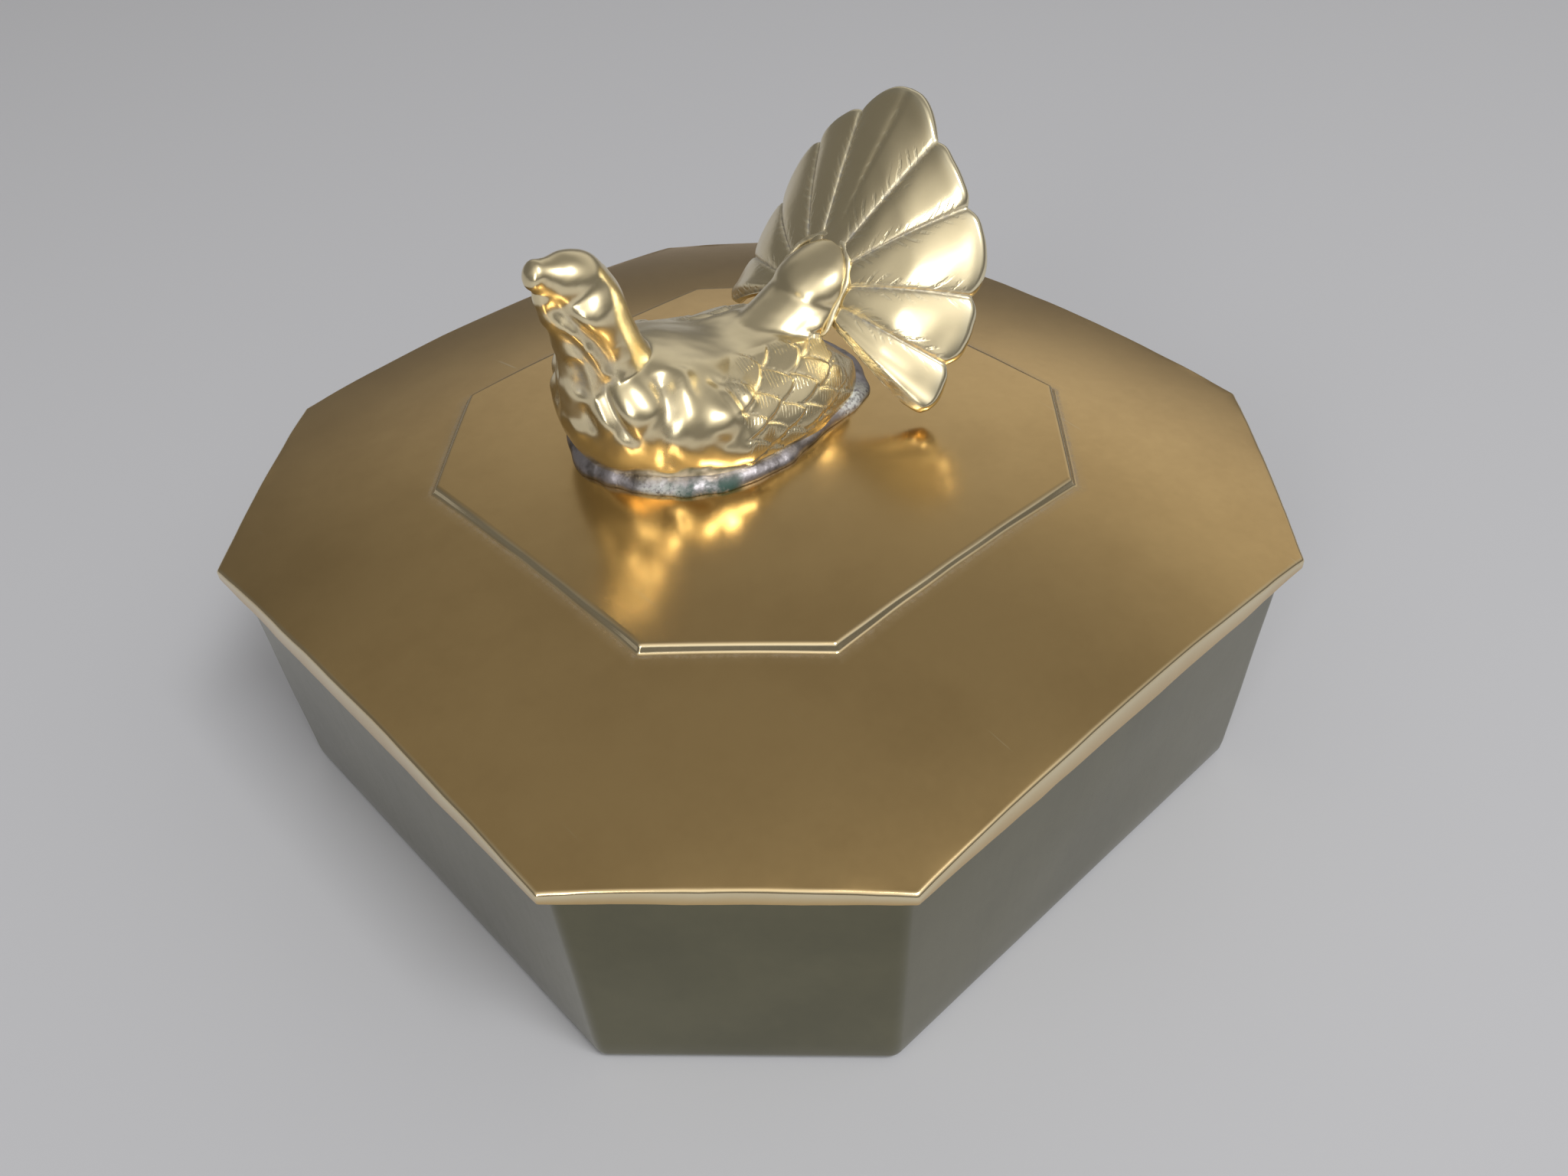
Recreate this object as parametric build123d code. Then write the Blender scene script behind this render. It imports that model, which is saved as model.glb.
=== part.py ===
"""Octagonal brass box: a cast tub, a domed lift-off lid and a fan-tailed pigeon soldered on top as its handle.

Millimetres, +Z up. The origin is at the middle of the tub's underside, and the bird looks towards -X.
"""

from build123d import *
from math import cos, radians, sin, sqrt, tan
import os

# Octagon of the lid: a square across its long sides, with 45 degree corner cuts
LID_ACROSS = 180.0
LID_CORNER_CUT = 38.6

# Tub
TUB_HEIGHT = 51.7
TUB_WALL = 3.0
TUB_FLOOR = 3.2
TUB_DRAFT = 2.2
LID_OVERHANG = 2.8
TUB_CORNER_RADIUS = 3.0
TUB_FOOT_RADIUS = 2.4
TUB_INNER_RADIUS = 2.0

# Lid casting
LID_RIM = 2.2
DOME_RADIUS = 410.0
DOME_BANDS = 6
LID_SHELL = 3.2
LID_ARRIS = 0.5
HOLLOW_LAND = 4.0

# Raised plateau in the middle of the lid
PLATEAU_ACROSS = 107.0
PLATEAU_CORNER_CUT = 22.7
PLATEAU_RISE = 1.45
PLATEAU_BEVEL = 0.6
PLATEAU_DOME_RADIUS = 700.0
PLATEAU_SEAM = 1.5

# Locating lip under the lid and the solder that holds it
LIP_CLEARANCE = 0.8
LIP_THICKNESS = 1.8
LIP_DEPTH = 7.0
LIP_SOLDER_LEG = 2.0
SOLDER_FEATHER = 0.2

# Bird: its place on the plateau, with the foot of the tail root as its own origin
BIRD_TURN = -4.0
TAIL_ROOT_X = 22.3
TAIL_ROOT_Y = 7.4
FOOT_FILM = 0.5

# Bird's trunk: distance behind the tail root, height of the middle, half width and half height
TRUNK_SECTIONS = [
    (-56.0, 10.0, 2.0, 2.0),
    (-53.6, 10.2, 9.5, 8.2),
    (-49.5, 10.2, 14.0, 11.3),
    (-43.0, 8.2, 17.8, 13.8),
    (-33.0, 4.2, 20.4, 15.8),
    (-22.0, 1.0, 20.2, 15.0),
    (-10.0, 0.5, 17.9, 13.8),
    (-1.5, 0.5, 14.4, 11.2),
    (3.0, 0.5, 9.8, 8.6),
    (5.5, 0.5, 4.5, 4.5),
]

# Bird's rump: a cone that climbs and turns up to the tail, as distance, height, radius and lean from upright
RUMP_SECTIONS = [
    (-22.0, 6.0, 7.0, 90.0),
    (-10.0, 8.6, 8.6, 84.0),
    (-3.8, 12.6, 8.9, 66.0),
    (1.3, 17.0, 9.0, 50.7),
]

# Bird's neck: distance, height, radius and lean from upright of each ring
NECK_SECTIONS = [
    (-43.0, 5.0, 11.5, 10.0),
    (-45.2, 12.5, 10.5, 10.0),
    (-47.3, 20.0, 8.2, 8.0),
    (-48.7, 28.0, 7.0, 7.0),
    (-49.6, 33.2, 6.4, 12.0),
    (-50.1, 37.0, 4.0, 18.0),
]

# Bird's head and beak: distance along their axis and radius
HEAD_X = -50.2
HEAD_Z = 36.4
BEAK_LIFT = 27.0
HEAD_PROFILE = [
    (-6.3, 0.0),
    (-5.6, 2.3),
    (-3.8, 3.9),
    (-1.4, 4.9),
    (1.4, 4.9),
    (3.6, 4.0),
    (4.8, 2.9),
    (7.6, 2.1),
    (9.4, 1.3),
    (9.8, 0.0),
]

# Folded wings on both flanks: distance, outset from the middle, height, half width and half height
WING_SECTIONS = [
    (-42.0, 13.5, 6.5, 2.5, 3.5),
    (-39.0, 14.4, 6.3, 5.2, 6.6),
    (-34.5, 14.8, 5.8, 6.4, 7.8),
    (-26.0, 13.8, 4.8, 6.4, 7.8),
    (-14.0, 11.5, 3.6, 5.8, 7.4),
    (-5.0, 9.8, 3.4, 4.8, 6.6),
    (-1.5, 9.2, 3.4, 4.0, 5.6),
]

# Solder round the bird's foot: distance and half width of the corners of its outline, its levels and its taper
FOOT_SOLDER_OUTLINE = [
    (-54.6, 2.0),
    (-52.6, 7.5),
    (-48.6, 15.2),
    (-41.0, 21.2),
    (-33.0, 23.8),
    (-23.0, 23.4),
    (-11.0, 20.6),
    (-2.0, 17.6),
    (4.0, 12.8),
    (8.0, 5.5),
]
FOOT_SOLDER_LOW = -2.0
FOOT_SOLDER_HIGH = 4.0
FOOT_SOLDER_TAPER = 0.8

# Tail fan: angle from its middle and distance from its root of the notches and of the lobes' tips, on one half
FAN_ROOT_X = 0.2
FAN_ROOT_Y = -0.5
FAN_ROOT_HEIGHT = 16.4
FAN_TURN = -1.0
FAN_LEAN = 39.3
FAN_CURVE_RADIUS = 42.0
FAN_HALF_THICKNESS = 1.1
FAN_ROOT_RADIUS = 7.4
FAN_SIDE_START = 6.0
FAN_NOTCHES = [(16.7, 36.3), (37.8, 33.9), (64.7, 30.7), (90.0, 29.2), (110.8, 28.8)]
FAN_MIDDLE_TIP = 41.6
FAN_SIDE_TIPS = [(27.3, 36.2), (51.2, 34.4), (77.4, 31.2), (103.0, 31.6)]

# Grooves between the lobes, on both faces of the fan
GROOVE_START = 9.0
GROOVE_START_WIDTH = 0.7
GROOVE_END_WIDTH = 1.5
GROOVE_DEPTH = 0.6

# Solder between the rump's end and the fan
TAIL_SOLDER_FILM = 0.6

PARTS_FOLDER = "parts"
LEVEL = 90.0

LID_HALF = LID_ACROSS / 2
LID_REACH = sqrt(LID_HALF**2 + (LID_HALF - LID_CORNER_CUT) ** 2)
TUB_HALF = LID_HALF - LID_OVERHANG
TUB_MOUTH_HALF = TUB_HALF - TUB_WALL
LIP_HALF = TUB_MOUTH_HALF - LIP_CLEARANCE
LIP_INNER_HALF = LIP_HALF - LIP_THICKNESS
DOME_TOP = TUB_HEIGHT + LID_RIM + DOME_RADIUS - sqrt(DOME_RADIUS**2 - LID_REACH**2)
PLATEAU_HALF = PLATEAU_ACROSS / 2
PLATEAU_REACH = sqrt(PLATEAU_HALF**2 + (PLATEAU_HALF - PLATEAU_CORNER_CUT) ** 2)
PLATEAU_EDGE = DOME_TOP - DOME_RADIUS + sqrt(DOME_RADIUS**2 - PLATEAU_REACH**2) + PLATEAU_RISE
PLATEAU_TOP = PLATEAU_EDGE + PLATEAU_DOME_RADIUS - sqrt(PLATEAU_DOME_RADIUS**2 - PLATEAU_REACH**2)


def corner_cut(half):
    """Corner cut of an octagon that runs parallel to the lid's edge, measured along the square's side."""
    return LID_CORNER_CUT - (LID_HALF - half) * (2 - sqrt(2))


def octagon(half, cut, height=0.0):
    """Flat octagon: a square of half width half, with its corners cut."""
    short = half - cut
    points = [(half, -short), (half, short), (short, half), (-short, half)]
    points += [(-x, -y) for x, y in points]
    return Plane.XY.offset(height) * make_face(Polyline(*points, close=True))


def frustum(half_low, half_high, low, high):
    """Solid between two parallel octagons at the heights low and high."""
    return loft([octagon(half_low, corner_cut(half_low), low), octagon(half_high, corner_cut(half_high), high)])


def dome(top, radius, floor):
    """Lens whose crown is at the height top, cut off level at the height floor; cone bands follow a sphere."""
    reach = LID_REACH + LID_OVERHANG
    steps = [reach * band / DOME_BANDS for band in range(DOME_BANDS + 1)]
    arc = [(r, 0, top - radius + sqrt(radius**2 - r**2)) for r in steps]
    outline = Polyline(*arc, (reach, 0, floor), (0, 0, floor), close=True)
    return revolve(make_face(outline), Axis.Z)


def build_tub():
    """Tub casting: eight walls with draft, a floor, rounded corners and a rounded foot."""
    foot_half = TUB_HALF - TUB_DRAFT
    body = frustum(foot_half, TUB_HALF, 0, TUB_HEIGHT)
    upright = body.edges().filter_by(lambda e: e.length > TUB_HEIGHT / 2 and abs((e % 0.5).Z) > 0.9)
    body = fillet(upright, TUB_CORNER_RADIUS)
    body = fillet(body.faces().sort_by(Axis.Z)[0].edges(), TUB_FOOT_RADIUS)
    inner_foot_half = TUB_MOUTH_HALF - TUB_DRAFT
    inside = frustum(inner_foot_half, TUB_MOUTH_HALF, TUB_FLOOR, TUB_HEIGHT)
    inner_upright = inside.edges().filter_by(lambda e: e.length > TUB_HEIGHT / 2 and abs((e % 0.5).Z) > 0.9)
    inside = fillet(inner_upright, TUB_INNER_RADIUS)
    inside = fillet(inside.faces().sort_by(Axis.Z)[0].edges(), TUB_INNER_RADIUS)
    return body - inside


def build_lid_plate():
    """Lid casting: a dome cut to an octagon, flat under its rim and hollow inside the lip, with the plateau on it."""
    block = extrude(octagon(LID_HALF, LID_CORNER_CUT, TUB_HEIGHT), DOME_RADIUS)
    lens = dome(DOME_TOP, DOME_RADIUS, TUB_HEIGHT)
    plate = block & lens
    plate = chamfer(plate.edges().filter_by(lambda e: e.center().Z > TUB_HEIGHT + LID_RIM / 2), LID_ARRIS)
    core = octagon(PLATEAU_HALF - PLATEAU_SEAM, PLATEAU_CORNER_CUT - PLATEAU_SEAM * (2 - sqrt(2)), TUB_HEIGHT)
    plate = plate - extrude(core, DOME_RADIUS)
    crown = dome(PLATEAU_TOP, PLATEAU_DOME_RADIUS, TUB_HEIGHT)
    shoulder = PLATEAU_EDGE - PLATEAU_RISE
    bevel_low = octagon(PLATEAU_HALF, PLATEAU_CORNER_CUT, shoulder)
    bevel_high_cut = PLATEAU_CORNER_CUT - PLATEAU_BEVEL * (2 - sqrt(2))
    bevel_high = octagon(PLATEAU_HALF - PLATEAU_BEVEL, bevel_high_cut, PLATEAU_TOP)
    plateau = loft([bevel_low, bevel_high]) & crown
    plateau = plateau + extrude(octagon(PLATEAU_HALF, PLATEAU_CORNER_CUT, TUB_HEIGHT), shoulder - TUB_HEIGHT)
    hollow_half = LIP_INNER_HALF - HOLLOW_LAND
    hollow_block = extrude(octagon(hollow_half, corner_cut(hollow_half), TUB_HEIGHT), DOME_RADIUS)
    hollow = hollow_block & dome(DOME_TOP - LID_SHELL, DOME_RADIUS - LID_SHELL, TUB_HEIGHT)
    return plate + plateau - hollow


def build_lip():
    """Strip under the lid that drops inside the tub's mouth."""
    low = TUB_HEIGHT - LIP_DEPTH
    outer = extrude(octagon(LIP_HALF, corner_cut(LIP_HALF), low), LIP_DEPTH)
    inner = extrude(octagon(LIP_INNER_HALF, corner_cut(LIP_INNER_HALF), low), LIP_DEPTH)
    return outer - inner


def build_lip_solder():
    """Fillet of solder in the corner between the lip's inner face and the lid's flat underside."""
    low = TUB_HEIGHT - LIP_SOLDER_LEG
    outer = extrude(octagon(LIP_INNER_HALF, corner_cut(LIP_INNER_HALF), low), LIP_SOLDER_LEG)
    throat = frustum(LIP_INNER_HALF - SOLDER_FEATHER, LIP_INNER_HALF - LIP_SOLDER_LEG, low, TUB_HEIGHT)
    return outer - throat


def ring_plane(x, z, lean, y):
    """Plane of a body section at (x, y, z), whose normal leans forwards from upright by the angle lean."""
    normal = (-sin(radians(lean)), 0, cos(radians(lean)))
    return Plane(origin=(x, y, z), x_dir=(0, 1, 0), z_dir=normal)


def limb(sections):
    """Solid through elliptical sections: distance, outset, height, lean, half width and half height of each."""
    return loft([ring_plane(x, z, lean, y) * Ellipse(w, h) for x, y, z, lean, w, h in sections], ruled=True)


def build_bird():
    """Bird casting, standing on the level z = 0 with the foot of its tail root at the origin."""
    trunk = limb([(x, 0, z, LEVEL, w, h) for x, z, w, h in TRUNK_SECTIONS])
    rump = limb([(x, 0, z, lean, r, r) for x, z, r, lean in RUMP_SECTIONS])
    neck = limb([(x, 0, z, lean, r, r) for x, z, r, lean in NECK_SECTIONS])
    bird = trunk + rump + neck + build_head()
    for side in (-1, 1):
        bird = bird + limb([(x, side * y, z, LEVEL, w, h) for x, y, z, w, h in WING_SECTIONS])
    below = Pos(0, 0, -LID_ACROSS / 2) * Box(LID_ACROSS, LID_ACROSS, LID_ACROSS)
    return bird - below - tail_seat()


def build_head():
    """Head and short beak, round about an axis that looks up and forwards."""
    profile = make_face(Polyline(*[(r, 0, d) for d, r in HEAD_PROFILE], close=True))
    return Pos(HEAD_X, 0, HEAD_Z) * Rot(0, BEAK_LIFT - LEVEL, 0) * revolve(profile, Axis.Z)


def tail_plane(offset=0.0):
    """Plane of the tail fan through its root, moved backwards by offset."""
    lean, turn = radians(FAN_LEAN), radians(FAN_TURN)
    back = Vector(cos(lean) * cos(turn), cos(lean) * sin(turn), -sin(lean))
    side = Vector(-sin(turn), cos(turn), 0)
    root = Vector(FAN_ROOT_X, FAN_ROOT_Y, FAN_ROOT_HEIGHT)
    return Plane(origin=root + back * offset, x_dir=side, z_dir=back)


def tail_seat():
    """Block cut out of the bird for the tail: everything behind a film of solder and above the fan's root."""
    low = -FAN_ROOT_RADIUS - TAIL_SOLDER_FILM
    flat = Pos(0, low + LID_ACROSS / 2) * Rectangle(LID_ACROSS, LID_ACROSS)
    return extrude(tail_plane(-FAN_HALF_THICKNESS - TAIL_SOLDER_FILM) * flat, LID_ACROSS)


def fan_point(angle, radius):
    """Point of the fan's flat outline at an angle from its middle."""
    return (radius * sin(radians(angle)), radius * cos(radians(angle)))


def fan_outline():
    """Flat outline of the fan: one arc for each lobe, straight outer sides and a round root."""
    middle = FAN_NOTCHES[0]
    outline = ThreePointArc(fan_point(-middle[0], middle[1]), (0, FAN_MIDDLE_TIP), fan_point(*middle))
    for side in (-1, 1):
        for (a, r), (tip_a, tip_r), (b, s) in zip(FAN_NOTCHES, FAN_SIDE_TIPS, FAN_NOTCHES[1:]):
            outline += ThreePointArc(fan_point(side * a, r), fan_point(side * tip_a, tip_r), fan_point(side * b, s))
    last = FAN_NOTCHES[-1]
    stops = [fan_point(side * last[0], r) for side, r in ((-1, last[1]), (-1, FAN_SIDE_START))]
    stops += [(-x, y) for x, y in reversed(stops)]
    return make_face(outline + Polyline(*stops)) + Circle(FAN_ROOT_RADIUS)


def fan_layer(front, rear):
    """Part of the fan's curved sheet between two offsets, counted towards the head."""
    axis = tail_plane(FAN_CURVE_RADIUS)
    upright = Plane(origin=axis.origin, x_dir=axis.x_dir, z_dir=axis.y_dir)
    outer = Cylinder(FAN_CURVE_RADIUS + front, LID_ACROSS)
    return upright * (outer - Cylinder(FAN_CURVE_RADIUS + rear, LID_ACROSS))


def fan_block(flat):
    """Flat shape carried straight through the fan's sheet."""
    return extrude(tail_plane(-FAN_CURVE_RADIUS / 2) * flat, FAN_CURVE_RADIUS)


def groove_strips():
    """Flat strips that widen from the root towards each notch."""
    strips = []
    for angle, notch in FAN_NOTCHES[:-1]:
        for side in (-1, 1):
            reach = notch + GROOVE_END_WIDTH
            near, far = GROOVE_START_WIDTH / 2, GROOVE_END_WIDTH / 2
            strip = Polyline((-near, GROOVE_START), (near, GROOVE_START), (far, reach), (-far, reach), close=True)
            strips.append(Rot(0, 0, -side * angle) * make_face(strip))
    return strips


def build_fan():
    """Tail fan casting: a curved sheet with a scalloped edge and grooves between its lobes on both faces."""
    half = FAN_HALF_THICKNESS
    fan = fan_block(fan_outline()) & fan_layer(half, -half)
    front = fan_layer(half + GROOVE_DEPTH, half - GROOVE_DEPTH)
    rear = fan_layer(GROOVE_DEPTH - half, -half - GROOVE_DEPTH)
    for strip in groove_strips():
        block = fan_block(strip)
        fan = fan - (block & front) - (block & rear)
    return fan


def build_tail_solder(fan):
    """Solder that fills the space between the rump's end and the fan."""
    film = FAN_HALF_THICKNESS + TAIL_SOLDER_FILM
    return extrude(tail_plane(-film) * Circle(FAN_ROOT_RADIUS), film) - fan


def build_foot_solder(bird):
    """Mound of solder under and all round the bird's foot; the plateau shapes its underside."""
    corners = FOOT_SOLDER_OUTLINE + [(x, -y) for x, y in reversed(FOOT_SOLDER_OUTLINE)]
    low = make_face(Polyline(*corners, close=True))
    high = scale(low, by=FOOT_SOLDER_TAPER)
    high = Pos(low.center() - high.center()) * high
    mound = loft([Pos(0, 0, FOOT_SOLDER_LOW) * low, Pos(0, 0, FOOT_SOLDER_HIGH) * high], ruled=True)
    return seat_bird(mound) - dome(PLATEAU_TOP, PLATEAU_DOME_RADIUS, TUB_HEIGHT) - seat_bird(bird)


def seat_bird(shape):
    """Moves a piece of the bird to its place on the plateau."""
    return Pos(TAIL_ROOT_X, TAIL_ROOT_Y, PLATEAU_TOP + FOOT_FILM) * Rot(0, 0, BIRD_TURN) * shape


def main():
    bird = build_bird()
    fan = build_fan()
    pieces = {
        "base_tub": build_tub(),
        "lid_plate": build_lid_plate(),
        "lid_lip": build_lip(),
        "lip_solder": build_lip_solder(),
        "bird_body": seat_bird(bird),
        "tail_fan": seat_bird(fan),
        "tail_solder": seat_bird(build_tail_solder(fan)),
        "foot_solder": build_foot_solder(bird),
    }
    os.makedirs(PARTS_FOLDER, exist_ok=True)
    for name, shape in pieces.items():
        export_step(shape, f"{PARTS_FOLDER}/{name}.step")


main()
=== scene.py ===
"""Dresses the octagonal brass box: a cast tub, a domed lid and a fan-tailed pigeon soldered on as its handle.

Shapes are worked out in millimetres and put into the meshes in metres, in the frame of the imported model: +Z
up, origin in the middle of the tub's underside, the bird looking towards -X.
"""

from __future__ import annotations

import logging
import math
from dataclasses import dataclass, field
from enum import Enum
from typing import Any, Callable, ClassVar

import bpy
import numpy as np
from mathutils import Matrix, Vector

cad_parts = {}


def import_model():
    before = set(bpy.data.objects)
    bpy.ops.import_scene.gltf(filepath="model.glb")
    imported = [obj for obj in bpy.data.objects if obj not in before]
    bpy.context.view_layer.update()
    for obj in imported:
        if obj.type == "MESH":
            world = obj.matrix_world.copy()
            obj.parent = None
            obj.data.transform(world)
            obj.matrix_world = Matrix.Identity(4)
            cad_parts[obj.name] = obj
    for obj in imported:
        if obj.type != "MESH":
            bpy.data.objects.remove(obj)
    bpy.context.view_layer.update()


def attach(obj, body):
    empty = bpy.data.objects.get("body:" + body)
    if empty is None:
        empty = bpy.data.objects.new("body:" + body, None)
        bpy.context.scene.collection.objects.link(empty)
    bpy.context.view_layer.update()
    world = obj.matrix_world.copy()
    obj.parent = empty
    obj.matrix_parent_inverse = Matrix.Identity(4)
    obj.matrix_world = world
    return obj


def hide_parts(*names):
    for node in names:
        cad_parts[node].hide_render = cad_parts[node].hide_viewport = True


LOG = logging.getLogger("brass_box")
Array = np.ndarray
Triple = tuple[float, float, float]
MM = 0.001
ROOT2 = math.sqrt(2.0)
QUARTER = math.pi / 4


class Body(Enum):
    """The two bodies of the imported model."""

    BASE = "base"
    LID = "lid"


class Slot(Enum):
    """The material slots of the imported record."""

    TUB = "tub_brass"
    LID = "lid_brass"
    BIRD = "bird_brass"
    SOLDER = "solder"


# Shader maths and finishes


class Wire:
    """A shader socket that takes part in Python expressions; each operation adds one Math node."""

    def __init__(self, tree: bpy.types.NodeTree, socket: bpy.types.NodeSocket) -> None:
        """Wraps socket, which belongs to tree."""
        self.tree = tree
        self.socket = socket

    def math(self, operation: str, *values: Any) -> Wire:
        """Adds a Math node.

        Args:
            operation: Blender's name for the operation.
            values: its inputs in order, each a number or a Wire.

        Returns:
            The node's result.
        """
        node = self.tree.nodes.new("ShaderNodeMath")
        node.operation = operation
        for socket, value in zip(node.inputs, values):
            plug(self.tree, socket, value)
        return Wire(self.tree, node.outputs[0])

    def __add__(self, other: Any) -> Wire:
        """Sum."""
        return self.math("ADD", self, other)

    def __radd__(self, other: Any) -> Wire:
        """Sum with a number on the left."""
        return self.math("ADD", other, self)

    def __sub__(self, other: Any) -> Wire:
        """Difference."""
        return self.math("SUBTRACT", self, other)

    def __rsub__(self, other: Any) -> Wire:
        """Difference with a number on the left."""
        return self.math("SUBTRACT", other, self)

    def __mul__(self, other: Any) -> Wire:
        """Product."""
        return self.math("MULTIPLY", self, other)

    def __rmul__(self, other: Any) -> Wire:
        """Product with a number on the left."""
        return self.math("MULTIPLY", other, self)

    def __pow__(self, other: Any) -> Wire:
        """Power."""
        return self.math("POWER", self, other)

    def larger(self, other: Any) -> Wire:
        """The larger of two values."""
        return self.math("MAXIMUM", self, other)

    def smaller(self, other: Any) -> Wire:
        """The smaller of two values."""
        return self.math("MINIMUM", self, other)

    def sine(self) -> Wire:
        """Sine of a value in radians."""
        return self.math("SINE", self)

    def step(self, low: float, high: float) -> Wire:
        """Smooth ramp from 0 at low to 1 at high; high may be the smaller one."""
        node = self.tree.nodes.new("ShaderNodeMapRange")
        node.interpolation_type = "SMOOTHSTEP"
        flip = high < low
        for name, value in (
            ("Value", self),
            ("From Min", high if flip else low),
            ("From Max", low if flip else high),
            ("To Min", 1.0 if flip else 0.0),
            ("To Max", 0.0 if flip else 1.0),
        ):
            plug(self.tree, node.inputs[name], value)
        return Wire(self.tree, node.outputs["Result"])


def plug(tree: bpy.types.NodeTree, socket: bpy.types.NodeSocket, value: Any) -> None:
    """Links a Wire to socket, or sets the socket to a plain value."""
    if isinstance(value, Wire):
        tree.links.new(value.socket, socket)
    else:
        socket.default_value = value


class Shader:
    """The node tree of one material or world, with one method that adds any node."""

    def __init__(self, owner: Any) -> None:
        """Empties the tree of owner, a material or a world."""
        owner.use_nodes = True
        self.tree = owner.node_tree
        self.tree.nodes.clear()

    def add(
        self, kind: str, settings: dict[str, Any] | None = None, output: int | str = 0, **inputs: Any
    ) -> Wire:
        """Adds a node.

        Args:
            kind: the node's type after "ShaderNode".
            settings: properties that are set before the inputs.
            output: the output that is returned.
            inputs: values or Wires by socket name, with underscores for spaces.

        Returns:
            The chosen output.
        """
        node = self.tree.nodes.new("ShaderNode" + kind)
        for name, value in (settings or {}).items():
            setattr(node, name, value)
        for name, value in inputs.items():
            plug(self.tree, node.inputs[name.replace("_", " ")], value)
        return Wire(self.tree, node.outputs[output])

    def place(self, size: Triple = (1, 1, 1), turn: Triple = (0, 0, 0)) -> Wire:
        """Object coordinates in metres, scaled by size and turned by turn."""
        where = self.add("TexCoord", output="Object")
        return self.add("Mapping", Vector=where, Scale=size, Rotation=turn)

    def noise(
        self, per_metre: float, detail: float = 3.0, at: Wire | None = None, rough: float = 0.5
    ) -> Wire:
        """Smooth noise from 0 to 1, with per_metre cells in each metre."""
        where = at or self.place()
        return self.add(
            "TexNoise", Vector=where, Scale=per_metre, Detail=detail, Roughness=rough, output="Fac"
        )

    def mark(self, name: str) -> Wire:
        """A value that the piece's mesh carries at each vertex."""
        return self.add("Attribute", {"attribute_name": name}, output="Fac")

    def blend(self, share: Any, first: Any, second: Any) -> Wire:
        """Mixes two colours."""
        node = self.tree.nodes.new("ShaderNodeMix")
        node.data_type = "RGBA"
        plug(self.tree, node.inputs[0], share)
        plug(self.tree, node.inputs[6], first)
        plug(self.tree, node.inputs[7], second)
        return Wire(self.tree, node.outputs[2])

    def finish(self, surface: Wire, target: str = "OutputMaterial") -> None:
        """Links surface to the tree's output."""
        node = self.tree.nodes.new("ShaderNode" + target)
        self.tree.links.new(surface.socket, node.inputs["Surface"])


def shade(colour: Triple) -> tuple[float, float, float, float]:
    """A linear colour with full alpha."""
    return (*colour, 1.0)


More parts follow.
